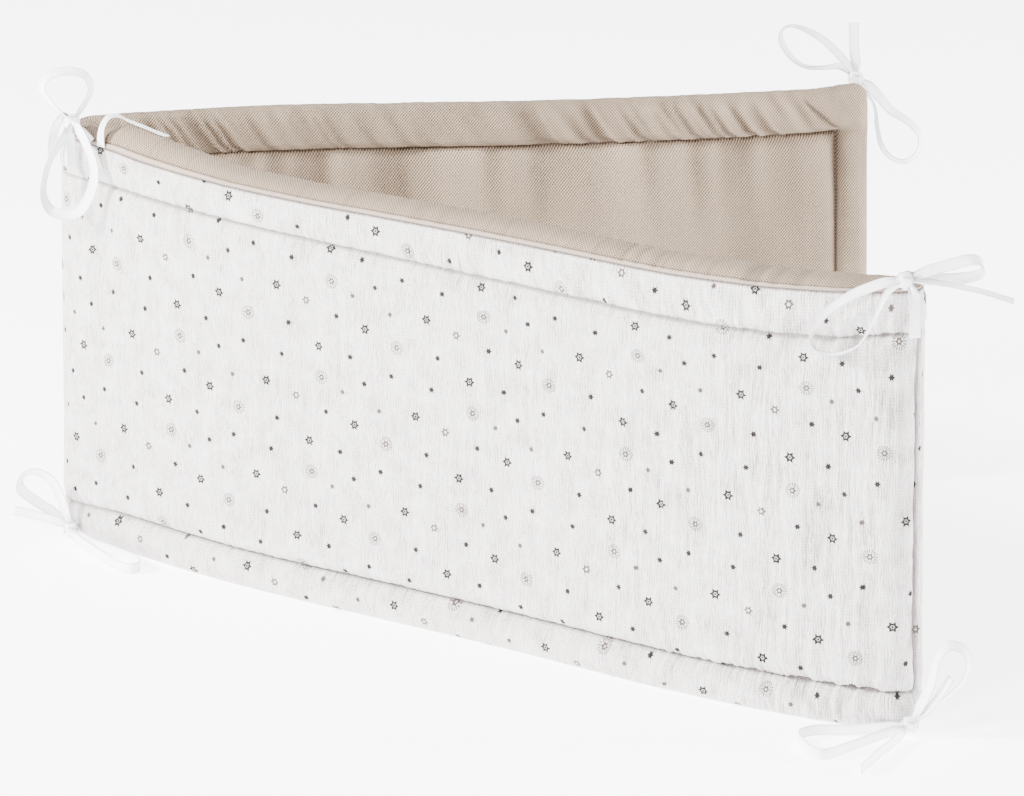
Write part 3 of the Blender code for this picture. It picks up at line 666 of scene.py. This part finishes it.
def pique_relief(along, off, height):
    """The soft wrinkles of the pique, in metres: slanted in the top border, broad below the stitching."""
    u, v = along * 1000.0, height * 1000.0
    slanted = 0.8 - 2.0 * np.abs(noise((u + 0.62 * v) / 10.5, v / 90, 11))
    slanted += 0.45 * noise((u + 0.7 * v) / 6.5, v / 50, 12)
    in_border = clamped((height - STITCH_TOP) / 0.007) * np.clip((0.402 - height) / 0.014, 0.25, 1.0)
    relief = 1.05 * slanted * in_border * from_table(along, SLANTS_ALONG) * (off < 0.0)
    below_top = STITCH_TOP - height
    below = clamped(below_top / 0.004) * np.exp(-clamped(below_top) / 0.050)
    wing = np.where(along < FOLD_MIDDLE, 0.5, 1.0)
    relief += 1.9 * wing * noise((u + 0.10 * v) / 15.0, v / 150, 14) * below * (height < STITCH_TOP)
    relief += 1.2 * noise(u / 55, v / 110, 15) * (height < STITCH_TOP)
    bottom_gap, end_gap = np.abs(height - BORDER_BOTTOM), np.abs(end_distance(along) - BORDER_END)
    relief += 0.8 * noise(u / 8.5, v / 60, 16) * pinned(bottom_gap, 0.007)
    relief += 0.5 * noise(v / 9.0, u / 60, 17) * pinned(end_gap, 0.006)
    leaned = u - 260.0 * off + 6.0 * noise(u / 50, 0.5, 18)
    gathers = noise(leaned / 8.0, 0.5, 19) + 0.5 * noise(leaned / 3.6, 0.5, 23)
    on_roll = clamped((height - CREST_FROM) / 0.006)
    strength = from_table(along, ROLL_ALONG)
    relief += 0.75 * (0.5 - 1.6 * np.abs(gathers)) * strength * on_roll * (along < FOLD_MIDDLE)
    relief += 0.45 * gathers * on_roll * (along >= FOLD_MIDDLE)
    return relief * 0.001


class Side:
    """One side of the panel as a fine grid, which the stitches are laid on too."""

    def __init__(self, side, face, steps):
        self.side = side
        self.along = columns_along(steps)
        self.off, self.height, self.run = section_rows(side, face)
        along, off, height = self.along[:, None], self.off[None, :], self.height[None, :]
        base = face_points(side, along, off, height)
        relief = muslin_relief(along, height) if side > 0 else pique_relief(along, off, height)
        at_floor, at_ends, at_seam = RELIEF_FADES
        calm = clamped(base[..., 2] / at_floor) * np.clip(end_distance(along) / at_ends, END_RELIEF, 1.0)
        if side > 0:
            calm = calm * clamped((SEAM_HEIGHT - height) / at_seam)
        self.relief = relief * calm
        self.points = base + outward(base) * self.relief[..., None]
        self.points[..., 2] = np.maximum(self.points[..., 2], 0.0)
        self.normals = outward(self.points)
        middle_row = int(np.argmin(np.abs(self.height - HEIGHT / 2)))
        self.cloth_along = run_lengths(base[:, middle_row])
        self.seam = self.painted_shade_marks(along, off, height)

    def painted_shade_marks(self, along, off, height):
        """How much painted shade each point gets, from 0 to 1, as it lies in a seam's crease or in a sharp
        pleat.
        """
        marks = clamped(1.0 - np.abs(stitch_distance(along, height)) / THREAD_SHADE)
        if self.side > 0:
            upright = clamped(1.0 - np.abs(end_distance(along) - BORDER_END) / END_SHADE)
            marks = np.maximum(marks, upright * (height > BORDER_BOTTOM) * (height < STITCH_TOP))
            marks = marks * (1.0 - FOLD_SHADE * near_fold(along, FOLD_SHADE_REACH))
        marks = np.maximum(marks, PLEAT_SHADE * pleat(self.side, along, height))
        for seam_off, seam_height, reach in SEAMS:
            gap = np.hypot(off - seam_off, height - seam_height)
            marks = np.maximum(marks, clamped(1.0 - gap / reach))
        return marks

    def at(self, along, height):
        """The surface and its normal at one place, on the part of the section that faces outward."""
        rows = np.arange(len(self.height))
        order = rows if self.side > 0 else rows[::-1]
        upright = order[np.abs(self.off[order]) > FACE_FROM]
        upright = upright[(self.off[upright] > 0) == (self.side > 0)]
        row = np.interp(height, self.height[upright], upright)
        column = np.interp(along, self.along, np.arange(len(self.along)))
        i, j = int(column), int(row)
        a, b = column - i, row - j
        k, m = min(i + 1, len(self.along) - 1), min(j + 1, len(self.height) - 1)

        def blend(grid):
            low = grid[i, j] * (1 - a) + grid[k, j] * a
            high = grid[i, m] * (1 - a) + grid[k, m] * a
            return low * (1 - b) + high * b

        normal = blend(self.normals)
        return blend(self.points), normal / np.linalg.norm(normal)

    def build(self, name, material):
        """The side as a closed solid: its face, and a surface inside the pad where the two sides meet."""
        inside = [place(self.along, INSIDE_GAP * self.side, height) for height in (INSIDE_TOP, 0.0)]
        points = np.concatenate([self.points, np.stack(inside[::self.side], axis=1)], axis=1)
        strip = (self.off < STRIP_ROWS[0] + 1e-4) & (self.off > STRIP_ROWS[1]) & (self.side < 0)
        # relief: the fine relief in millimetres, which the materials also use to paint shade into its
        # hollows
        fields = {"relief": np.pad(self.relief * 1000.0, ((0, 0), (0, 2))),
                  # seam: painted shade, from 0 to 1, in the stitched creases, along the seams at the top
                  # and in the pleats
                  "seam": np.pad(self.seam, ((0, 0), (0, 2))),
                  "strip": np.broadcast_to(np.pad(strip, (0, 2)), points.shape[:2])}
        up = np.pad(self.run, (0, 2))
        return make_tube(name, points, -self.side * self.cloth_along, up, fields, material)


# --- shader tools ---
class Shader:
    """A material's node tree, with short calls for the nodes that the cloths use."""

    def __init__(self, name):
        self.material = bpy.data.materials.new(name)
        self.material.use_nodes = True
        self.tree = self.material.node_tree
        self.surface = self.tree.nodes["Principled BSDF"]

    def put(self, socket, value):
        if isinstance(value, bpy.types.NodeSocket):
            self.tree.links.new(value, socket)
        elif value is not None:
            socket.default_value = value

    def node(self, kind, inputs=(), **settings):
        made = self.tree.nodes.new(kind)
        for key, value in settings.items():
            setattr(made, key, value)
        for key, value in (inputs if isinstance(inputs, dict) else dict(enumerate(inputs))).items():
            self.put(made.inputs[key], value)
        return made

    def math(self, operation, *inputs, clamp=False):
        return self.node("ShaderNodeMath", inputs, operation=operation, use_clamp=clamp).outputs[0]

    def times(self, first, second, clamp=False):
        return self.math("MULTIPLY", first, second, clamp=clamp)

    def times_plus(self, first, second, third, clamp=False):
        return self.math("MULTIPLY_ADD", first, second, third, clamp=clamp)

    def wave(self, distance, pitch):
        """A sine wave from -1 to 1 along a distance."""
        return self.math("SINE", self.times(distance, 2.0 * math.pi / pitch))

    def vector(self, operation, *inputs):
        made = self.node("ShaderNodeVectorMath", inputs, operation=operation)
        return made.outputs["Value" if operation in ("DOT_PRODUCT", "LENGTH") else "Vector"]

    def mix(self, share, first, second):
        return self.node("ShaderNodeMix", {0: share, 6: first, 7: second}, data_type="RGBA").outputs[2]

    def parts(self, vector):
        return self.node("ShaderNodeSeparateXYZ", (vector,)).outputs

    def cloth(self):
        return self.node("ShaderNodeUVMap", uv_map="cloth").outputs[0]

    def field(self, name):
        return self.node("ShaderNodeAttribute", attribute_name=name).outputs["Fac"]

    def gap(self, first, second):
        """How far apart two values are."""
        return self.math("ABSOLUTE", self.math("SUBTRACT", first, second))

    def noise(self, vector, scale, detail=2.0, rough=0.5, up=1.0):
        """Smooth noise from 0 to 1, which is longer upwards where up is under 1."""
        if up < 1.0:
            vector = self.vector("MULTIPLY", vector, (1.0, up, 1.0))
        inputs = {"Vector": vector, "Scale": scale, "Detail": detail, "Roughness": rough}
        return self.node("ShaderNodeTexNoise", inputs).outputs["Fac"]

    def bump(self, height, distance, strength, under=None):
        inputs = {"Height": height, "Distance": distance, "Strength": strength, "Normal": under}
        return self.node("ShaderNodeBump", inputs).outputs["Normal"]

    def finish(self, colour, normal, roughness, sheen=0.0):
        inputs = {"Base Color": colour, "Normal": normal, "Roughness": roughness, "Sheen Weight": sheen,
                  "Sheen Roughness": 0.5, "Specular IOR Level": 0.12}
        for key, value in inputs.items():
            self.put(self.surface.inputs[key], value)
        return self.material


# --- the print ---
# One repeat of the print, in millimetres of cloth: to the right on the outer side, and up.
REPEAT_RIGHT = (163.0, -5.0)
REPEAT_DOWN = (-12.0, -93.0)
PRINT_START = (-700.0, 309.0)
MOTIFS = {
    # kind: its reach from its middle to its points, and its places, right and up
    "dark_star": (3.8, ((0, 0), (-66, -20), (-117, -45))),
    "sunburst": (2.7, ((-102, 19), (-32, -32))),
    "pale_star": (3.3, ((-131, -4),)),
    "dark_dot": (2.5, ((-82, -49), (-151, -29), (-97, -13), (-55, 21), (-26, 33), (-146, 33))),
    "pale_dot": (2.1, ((-39, -2), (-79, 9))),
}
RAY_RINGS = (4.6, 6.1)  # the two rings of short dashes round a sunburst
RAY_COUNT = 16
RAY_SHARE = (2.0, 0.6)  # the slope and the middle of the wave that cuts the rings into dashes
OUTLINES = {"dark_star": 0.88, "pale_star": 0.68, "sunburst": 0.68}  # the lines' half widths
DOT_SPREAD = 0.45  # how far a dot's ink reaches past its points' edge
STAR_MIDDLE = 1.05  # the radius of the dot in a dark star
RAY_LINE = 0.6  # half of a ring's width
INK_EDGE = 0.35  # the width over which the ink fades out


def ink(shader, gap, half_width):
    """One inside a line of that half width, in millimetres, and nothing outside, with a soft edge."""
    return shader.times_plus(gap, -1.0 / INK_EDGE, half_width / INK_EDGE + 0.5, clamp=True)


def star_edge(shader, radius, angle, size):
    """The distance outside the edge of a six-pointed star, which is two crossed triangles."""
    turned = shader.math("PINGPONG", angle, math.pi / 6.0)
    lean = shader.math("COSINE", shader.math("SUBTRACT", math.pi / 3.0, turned))
    return shader.times_plus(radius, lean, -size / 2.0)


def motif_mask(shader, kind, radius, angle):
    """Where one motif has ink, from the polar coordinates about its middle in millimetres."""
    edge = star_edge(shader, radius, angle, MOTIFS[kind][0])
    if kind.endswith("dot"):
        return ink(shader, edge, DOT_SPREAD)
    outline = ink(shader, shader.math("ABSOLUTE", edge), OUTLINES[kind])
    if kind == "dark_star":
        return shader.math("MAXIMUM", outline, ink(shader, radius, STAR_MIDDLE))
    if kind == "pale_star":
        return outline
    rays = shader.math("COSINE", shader.times(angle, float(RAY_COUNT)))
    rays = shader.times_plus(rays, *RAY_SHARE, clamp=True)
    for ring in RAY_RINGS:
        near = ink(shader, shader.gap(radius, ring), RAY_LINE)
        outline = shader.math("MAXIMUM", outline, shader.times(near, rays))
    return outline


def print_masks(shader, cloth):
    """The dark ink and the pale ink of the whole print."""
    (ax, ay), (bx, by) = REPEAT_RIGHT, REPEAT_DOWN
    area = ax * by - bx * ay
    millimetres = shader.vector("MULTIPLY", cloth, (1000.0, 1000.0, 0.0))
    first = shader.vector("DOT_PRODUCT", millimetres, (by / area, -bx / area, 0.0))
    second = shader.vector("DOT_PRODUCT", millimetres, (-ay / area, ax / area, 0.0))
    cell = shader.node("ShaderNodeCombineXYZ", (first, second)).outputs[0]
    masks = {"dark": None, "pale": None}
    for kind, (right, up) in [(kind, spot) for kind, (_, spots) in MOTIFS.items() for spot in spots]:
        x, y = PRINT_START[0] + right, PRINT_START[1] + up
        shift = ((by * x - bx * y) / area, (-ay * x + ax * y) / area)
        moved = shader.vector("ADD", cell, (0.5 - shift[0], 0.5 - shift[1], 0.0))
        inside = shader.vector("SUBTRACT", shader.vector("FRACTION", moved), (0.5, 0.5, 0.0))
        across = shader.vector("DOT_PRODUCT", inside, (ax, bx, 0.0))
        upward = shader.vector("DOT_PRODUCT", inside, (ay, by, 0.0))
        angle = shader.math("ARCTAN2", upward, across)
        squares = shader.times_plus(across, across, shader.times(upward, upward))
        mask = motif_mask(shader, kind, shader.math("SQRT", squares), angle)
        tone = "dark" if kind.startswith("dark") else "pale"
        masks[tone] = mask if masks[tone] is None else shader.math("MAXIMUM", masks[tone], mask)
    return masks["dark"], masks["pale"]


# --- the materials ---
CREPE_PITCH = (0.0025, 0.0028)  # from one fine ridge of the muslin to the next, along the panel and up it
CREPE_WANDER = 0.007  # how far the ridges wander, over the whole range of the noise
MUSLIN_THREADS = (0.0011, 0.0011)
PIQUE_PITCH = 0.0028  # from one row of grains to the next
PIQUE_LEAN = 0.85  # how far the rows slant
STRIP_PITCH = 0.0019  # of the ribs in the strip by the seam
RIBBON_THREADS = (0.0009, 0.0012)
MUSLIN_WHITE = (0.67, 0.645, 0.632, 1.0)
# painted shade: the colour the muslin takes in its crinkle hollows and along its fine ridges
MUSLIN_CRINKLE_SHADE = (0.31, 0.275, 0.262, 1.0)
# painted shade in the muslin's stitched creases
MUSLIN_SEAM_SHADE = (0.20, 0.17, 0.165, 1.0)
DARK_INK = (0.019, 0.016, 0.016, 1.0)
PALE_INK = (0.080, 0.061, 0.058, 1.0)
PIQUE_LIGHT = (0.450, 0.346, 0.253, 1.0)
# the dark between the pique's grains, and also the painted shade in its wrinkles
PIQUE_GRAIN_AND_SHADE = (0.070, 0.046, 0.029, 1.0)
# painted shade in the pique's stitched creases, seams and pleats
PIQUE_SEAM_SHADE = (0.07, 0.045, 0.03, 1.0)
PIQUE_STRIP = (0.46, 0.36, 0.305, 1.0)
RIBBON_WHITE = (0.95, 0.95, 0.97, 1.0)
RIBBON_SHADE = (0.76, 0.75, 0.82, 1.0)
# painted shade in the ribbon's creases, along its edges and in its knots' folds
RIBBON_CREASE_SHADE = (0.16, 0.15, 0.21, 1.0)
WHITE_THREAD = (0.42, 0.40, 0.39, 1.0)
BEIGE_THREAD = (0.42, 0.34, 0.27, 1.0)
FLOOR_WHITE = (0.93, 0.93, 0.93, 1.0)
FLOOR_GLOW = 4.2


def weave(shader, cloth, across, up):
    """A plain weave's small waves, from 0 to 1."""
    right, upward, _ = shader.parts(cloth)
    product = shader.times(shader.wave(right, across), shader.wave(upward, up))
    return shader.times_plus(product, 0.5, 0.5)


def muslin_material():
    """Crinkled double-layer muslin with its print, and painted shade in its crinkles and stitched creases.
    """
    shader = Shader("printed_muslin")
    cloth = shader.cloth()
    wander = shader.noise(cloth, 55.0, 2.0)
    shift = shader.times_plus(wander, 0.0016, -0.0008)
    bent = shader.vector("ADD", cloth, shader.node("ShaderNodeCombineXYZ", (shift, shift)).outputs[0])
    dark, pale = print_masks(shader, bent)
    middles = shader.gap(shader.noise(bent, 340.0, 2.0, 0.55, up=0.20), 0.5)
    lines = shader.times_plus(middles, -10.0, 1.0, clamp=True)
    crepe = shader.noise(bent, 560.0, 3.0, 0.65, up=0.75)
    threads = weave(shader, cloth, *MUSLIN_THREADS)
    wandering = shader.times(shader.noise(cloth, 130.0, 3.0, 0.6, up=0.35), CREPE_WANDER)
    waves = [shader.wave(shader.math("ADD", part, wandering), pitch)
             for part, pitch in zip(shader.parts(bent), CREPE_PITCH)]
    ridges, rows = [shader.times_plus(wave, 0.5, 0.5) for wave in waves]
    patches = shader.times_plus(shader.noise(cloth, 45.0, 2.0), 1.6, -0.3, clamp=True)
    ridges = shader.times(ridges, patches)
    # painted shade: the muslin darkens in the relief's hollows and along its crinkle lines, crepe ridges
    # and rows
    tone = shader.times_plus(shader.field("relief"), -0.38, 0.04, clamp=True)
    for part, share in ((lines, 0.20), (ridges, 0.80), (rows, 0.24)):
        tone = shader.times_plus(part, share, tone)
    tone = shader.times_plus(crepe, 0.6, shader.math("SUBTRACT", tone, 0.50), clamp=True)
    base = shader.mix(tone, MUSLIN_WHITE, MUSLIN_CRINKLE_SHADE)
    # painted shade in the stitched creases and along the top seam
    base = shader.mix(shader.times(shader.field("seam"), 1.25, clamp=True), base, MUSLIN_SEAM_SHADE)
    base = shader.mix(pale, base, PALE_INK)
    base = shader.mix(dark, base, DARK_INK)
    normal = shader.bump(middles, 0.0030, 0.9)
    normal = shader.bump(crepe, 0.0012, 0.8, normal)
    normal = shader.bump(shader.math("SUBTRACT", 1.0, ridges), 0.0008, 0.8, normal)
    normal = shader.bump(threads, 0.00025, 0.35, normal)
    return shader.finish(base, normal, 0.92, 0.02)


def pique_material():
    """Beige pique: small raised grains in staggered rows, which read as fine diagonals, with painted shade
    in its wrinkles' hollows.
    """
    shader = Shader("beige_pique")
    cloth = shader.cloth()
    right, upward, _ = shader.parts(cloth)
    waves = [shader.wave(shader.times_plus(upward, lean, right), PIQUE_PITCH)
             for lean in (PIQUE_LEAN, -PIQUE_LEAN)]
    strong = shader.times_plus(waves[0], 0.64, shader.times(waves[1], 0.36))
    grain = shader.times_plus(strong, 0.5, 0.5)
    fuzz = shader.noise(cloth, 900.0, 3.0, 0.6)
    blotch = shader.noise(cloth, 18.0, 3.0)
    tone = shader.times_plus(grain, -1.20, 0.96)
    tone = shader.times_plus(fuzz, 0.2, tone)
    tone = shader.times_plus(blotch, 0.12, tone)
    # painted shade: the pique darkens in the relief's hollows
    tone = shader.times_plus(shader.field("relief"), -0.16, tone, clamp=True)
    base = shader.mix(tone, PIQUE_LIGHT, PIQUE_GRAIN_AND_SHADE)
    ribs = shader.times_plus(shader.wave(right, STRIP_PITCH), 0.12, 0.72)
    base = shader.mix(shader.times(shader.field("strip"), ribs), base, PIQUE_STRIP)
    # painted shade in the stitched creases, along the top seams and in the corner pleats
    base = shader.mix(shader.times(shader.field("seam"), 0.8), base, PIQUE_SEAM_SHADE)
    normal = shader.bump(grain, 0.0012, 0.9)
    normal = shader.bump(fuzz, 0.0003, 0.3, normal)
    return shader.finish(base, normal, 0.95, 0.05)


def ribbon_material():
    """White ribbon: a fine close weave with a soft sheen and firmer edges, and painted shade along its
    edges, creases and knot folds.
    """
    shader = Shader("white_ribbon")
    cloth = shader.cloth()
    ribs = weave(shader, cloth, *RIBBON_THREADS)
    clouds = shader.noise(cloth, 60.0, 2.0)
    base = shader.mix(shader.times_plus(clouds, 0.6, -0.1, clamp=True), RIBBON_WHITE, RIBBON_SHADE)
    # painted shade in the creases, along the edges and in the knots' folds
    base = shader.mix(shader.times(shader.field("seam"), 0.8), base, RIBBON_CREASE_SHADE)
    normal = shader.bump(ribs, 0.0002, 0.35)
    return shader.finish(base, normal, 0.5, 0.25)


def thread_material(name, colour):
    """Sewing thread, a little uneven in tone and surface."""
    shader = Shader(name)
    coordinates = shader.node("ShaderNodeTexCoord").outputs["Object"]
    twist = shader.noise(coordinates, 2600.0, 2.0)
    dark = (*(0.72 * part for part in colour[:3]), 1.0)
    return shader.finish(shader.mix(twist, colour, dark), shader.bump(twist, 0.0002, 0.4), 0.7, 0.1)


def floor_material():
    """A plain pale matt floor, which glows so that it stays nearly white."""
    shader = Shader("studio_floor")
    shader.surface.inputs["Base Color"].default_value = FLOOR_WHITE
    shader.surface.inputs["Roughness"].default_value = 0.9
    shader.surface.inputs["Emission Color"].default_value = (1.0, 1.0, 1.0, 1.0)
    shader.surface.inputs["Emission Strength"].default_value = FLOOR_GLOW
    return shader.material


# --- ribbons and knots ---
def ribbon_run(faces, rows, knot):
    """Middles, width directions and flat directions at even steps along one run."""
    table = np.array(rows, float)
    table[:, :3] *= 0.001
    fine = smooth_curve(table, per_row=12)
    run = run_lengths(fine[:, :3])
    places = np.linspace(0.0, run[-1], max(3, round(run[-1] / RIBBON_STEP) + 1))
    points = np.stack([np.interp(places, run, fine[:, k]) for k in range(4)], axis=1)
    made = []
    for i, (x, y, z, turn) in enumerate(points):
        tangent = Vector(points[min(i + 1, len(points) - 1), :3] - points[max(i - 1, 0), :3]).normalized()
        held = Vector(HELD[faces])
        held = (held - tangent * held.dot(tangent)).normalized()
        flat, across = (held, tangent.cross(held)) if faces == "front" else (held.cross(tangent), held)
        angle = math.radians(turn)
        wide = across * math.cos(angle) + flat * math.sin(angle)
        thick = flat * math.cos(angle) - across * math.sin(angle)
        made.append((Vector(knot) + Vector((x, y, z)), wide, thick))
    return made


def ribbon_section():
    """The ribbon's outline across: off to the side and off the flat, a little cupped, with firm edges."""
    half, thick = RIBBON_WIDTH / 2, RIBBON_THICKNESS / 2
    tops = [(half * x, thick * (RIBBON_EDGE if abs(x) > 0.8 else 1.0) + RIBBON_CUP * x * x)
            for x in np.linspace(0.97, -0.97, 13)]
    bottoms = [(x, z - 2 * thick) for x, z in reversed(tops)]
    return tops + [(-half, RIBBON_CUP)] + bottoms + [(half, RIBBON_CUP)]


def make_ribbon_tube(name, points, u, v, marks, material, flip=True):
    """A tube of ribbon that stays above the floor, with the painted shade of its creases from 0 to 1."""
    points[..., 2] = np.maximum(points[..., 2], FLOOR_GAP)
    return make_tube(name, points, u, v, {"seam": clamped(np.array(marks))}, material, flip)


def make_strand(name, knot, knotted, runs, material):
    """One strand of ribbon along its runs, its middle line and its length.

    The marks are painted shade along the middle of a doubled ribbon, at the edges, and in the pleats by
    the knot.
    """
    section = ribbon_section()
    stations = [station for faces, rows in runs for station in ribbon_run(faces, rows, knot)]
    waves = [math.cos(3.0 * math.pi * a / RIBBON_WIDTH + 0.8) for a, _ in section]
    doubled = 0.0 if knotted else 0.8
    points, marks = [], []
    for middle, wide, thick in stations:
        away = min(1.0, (middle - Vector(knot)).length / KNOT_REACH) if knotted else 1.0
        share = KNOT_GATHER + (1.0 - KNOT_GATHER) * away ** 1.5
        pleats = (1.0 - away) ** 0.7
        for (a, b), wave in zip(section, waves):
            points.append(middle + wide * a * share + thick * (b + RIBBON_PLEATS * pleats * wave))
            # painted shade along a doubled ribbon's middle, at the edges and in the pleats by the knot
            marks.append(doubled * math.exp(-(a / 0.0007) ** 2) + 0.50 * abs(2.0 * a / RIBBON_WIDTH) ** 5
                         + pleats * max(0.0, 0.25 - wave))
    points = np.array(points).reshape(len(stations), len(section), 3)
    centres = np.array([tuple(middle) for middle, _, _ in stations])
    run = run_lengths(centres)
    across = np.array([a for a, _ in section])
    return make_ribbon_tube(name, points, run, across, marks, material), centres, run[-1]


def make_knot(name, spot, winding, material):
    """The knot: ribbon wound once round the strands, drawn in at both sides, with folds from the pull, and
    painted shade in the folds and along the band's edges.
    """
    half_length, half_deep, half_high = KNOT_HALF
    stations, around = 25, 40
    points, marks = [], []
    for t in np.linspace(-1.0, 1.0, stations):
        band = 0.80 + 0.20 * clamped((0.72 - abs(t)) / 0.10)
        closing = (1.0 - abs(t) ** 3.2) ** 0.5 if abs(t) < 1.0 else 0.0
        size = max(0.12, closing) * band
        edge = math.exp(-((abs(t) - 0.77) / 0.09) ** 2)
        for n in range(around):
            a = 2.0 * math.pi * n / around
            folds = 0.6 * math.sin(4.0 * a + 1.8 * t + 0.5) + 0.4 * math.sin(7.0 * a - 2.6 * t)
            # painted shade in the folds' hollows and along the band's edges
            marks.append(max(edge, -1.1 * folds - 0.25))
            shape = (abs(math.cos(a)) ** 3 + abs(math.sin(a)) ** 3) ** (-1.0 / 3.0)
            radius = size * (1.0 + 0.075 * folds) * shape
            y, z = half_deep * radius * math.cos(a), half_high * radius * math.sin(a)
            points.append((t * half_length, y, z))
    points = np.array(points).reshape(stations, around, 3)
    if winding == "z":
        points = points[..., [2, 1, 0]] * np.array([1.0, 1.0, -1.0])
    u, v = np.linspace(0.0, KNOT_CLOTH[0], stations), np.linspace(0.0, KNOT_CLOTH[1], around)
    return make_ribbon_tube(name, points + np.array(spot), u, v, marks, material, flip=False)


def make_tie(name, spot, winding, runs, strands, material):
    """One tie: its strands and its knot."""
    knot = None
    if winding:
        knot = settle(make_knot(name + "_knot", spot, winding, material), name)
    for letter, (members, far_end) in zip("ab", strands):
        route = [runs[member] for member in members]
        strand, centres, length = make_strand(f"{name}_{letter}", spot, bool(winding), route, material)
        settle(strand, name)


# --- stitches ---
def stitch_line():
    """Places along the stitched frame line, as along and height, a stitch apart."""
    low, high = BORDER_END, PANEL_LENGTH - BORDER_END
    line = np.array([(low, BORDER_BOTTOM), (high, BORDER_BOTTOM), (high, STITCH_TOP), (low, STITCH_TOP),
                     (low, BORDER_BOTTOM)])
    run = run_lengths(line)
    places = np.linspace(0.0, run[-1], round(run[-1] / STITCH_PITCH), endpoint=False)
    return zip(np.interp(places, run, line[:, 0]), np.interp(places, run, line[:, 1]))


def make_stitches(name, side, material):
    """The machine stitches in the frame line's crease, as small spindles just proud of the cloth."""
    spots = [side.at(along, height) for along, height in stitch_line()]
    points, faces = [], []
    for (here, normal), (ahead, _) in zip(spots, spots[1:] + spots[:1]):
        direction = (ahead - here) / max(np.linalg.norm(ahead - here), 1e-9)
        across = np.cross(normal, direction)
        middle = (here + ahead) / 2 + normal * STITCH_LIFT
        faces += [[len(points) + corner for corner in face] for face in ring_faces(len(STITCH_RINGS), 4)]
        for share, wide, lift in STITCH_RINGS:
            centre = middle + direction * STITCH_LENGTH * share + normal * lift
            for a, b in ((1, 0), (0, 1), (-1, 0), (0, -1)):
                points.append(centre + (across * a + normal * b) * STITCH_HALF_WIDTH * wide)
    return make_mesh(name, np.array(points), faces, material)


# --- the pieces on the frame, the camera and the lights ---
CAMERA_PLACE = (0.0367, -4.2955, 1.6274)
CAMERA_LENS = 175.8
SENSOR_WIDTH = 36.0
CAMERA_DOWN = 18.475  # degrees below level
LIGHTS = (
    # name, place, the point that it faces, size, watts, colour
    ("key", (-3.81, -0.81, 2.25), (0.0, 0.0, 0.2), 0.7, 860.0, (1.0, 0.995, 0.985)),
    ("fill", (-2.0, -2.9, 2.6), (0.0, 0.0, 0.2), 1.1, 345.0, (1.0, 1.0, 1.0)),
    ("rim", (4.2, 0.5, 0.9), (0.36, -0.3, 0.2), 1.4, 720.0, (1.0, 0.99, 1.0)),
)
WORLD_COLOUR = (0.98, 0.985, 1.0, 1.0)
WORLD_STRENGTH = 0.58


def settle(piece, node):
    """A piece stands for a solid and rides on the body."""
    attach(piece, "root")
    if node:
        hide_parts(node)
    return piece


def make_camera():
    """The photograph's viewing angle."""
    camera = add_object("camera", bpy.data.cameras.new("camera"))
    camera.data.lens = CAMERA_LENS
    camera.data.sensor_width = SENSOR_WIDTH
    camera.location = CAMERA_PLACE
    camera.rotation_euler = (math.radians(90.0 - CAMERA_DOWN), 0.0, 0.0)
    bpy.context.scene.camera = camera


def make_light(name, spot, target, size, power, colour):
    """A square soft light that faces a point."""
    light = add_object(name, bpy.data.lights.new(name, "AREA"))
    light.data.size = size
    light.data.energy = power
    light.data.color = colour
    light.location = spot
    light.rotation_euler = (Vector(target) - Vector(spot)).to_track_quat("-Z", "Y").to_euler()


def make_studio():
    """A pale floor that glows a little, three soft lights and an even pale world."""
    bpy.ops.mesh.primitive_plane_add(size=16.0, location=(0.0, 0.0, 0.0))
    floor = bpy.context.active_object
    floor.name = "floor"
    floor.data.materials.append(floor_material())
    for row in LIGHTS:
        make_light(*row)
    world = bpy.data.worlds.new("studio")
    world.use_nodes = True
    background = world.node_tree.nodes["Background"]
    background.inputs["Color"].default_value = WORLD_COLOUR
    background.inputs["Strength"].default_value = WORLD_STRENGTH
    bpy.context.scene.world = world


def main():
    make_camera()
    ribbon = ribbon_material()
    for tie in TIES:
        make_tie(*tie, ribbon)
    outer = Side(1, OUTER_FACE, OUTER_COLUMNS)
    inner = Side(-1, INNER_FACE, INNER_COLUMNS)
    muslin = outer.build("muslin_side", muslin_material())
    pique = inner.build("pique_side", pique_material())
    settle(muslin, "printed_panel")
    settle(pique, "plain_panel")
    settle(make_stitches("outer_stitches", outer, thread_material("white_thread", WHITE_THREAD)),
           None)
    settle(make_stitches("inner_stitches", inner, thread_material("beige_thread", BEIGE_THREAD)),
           None)
    make_studio()


main()
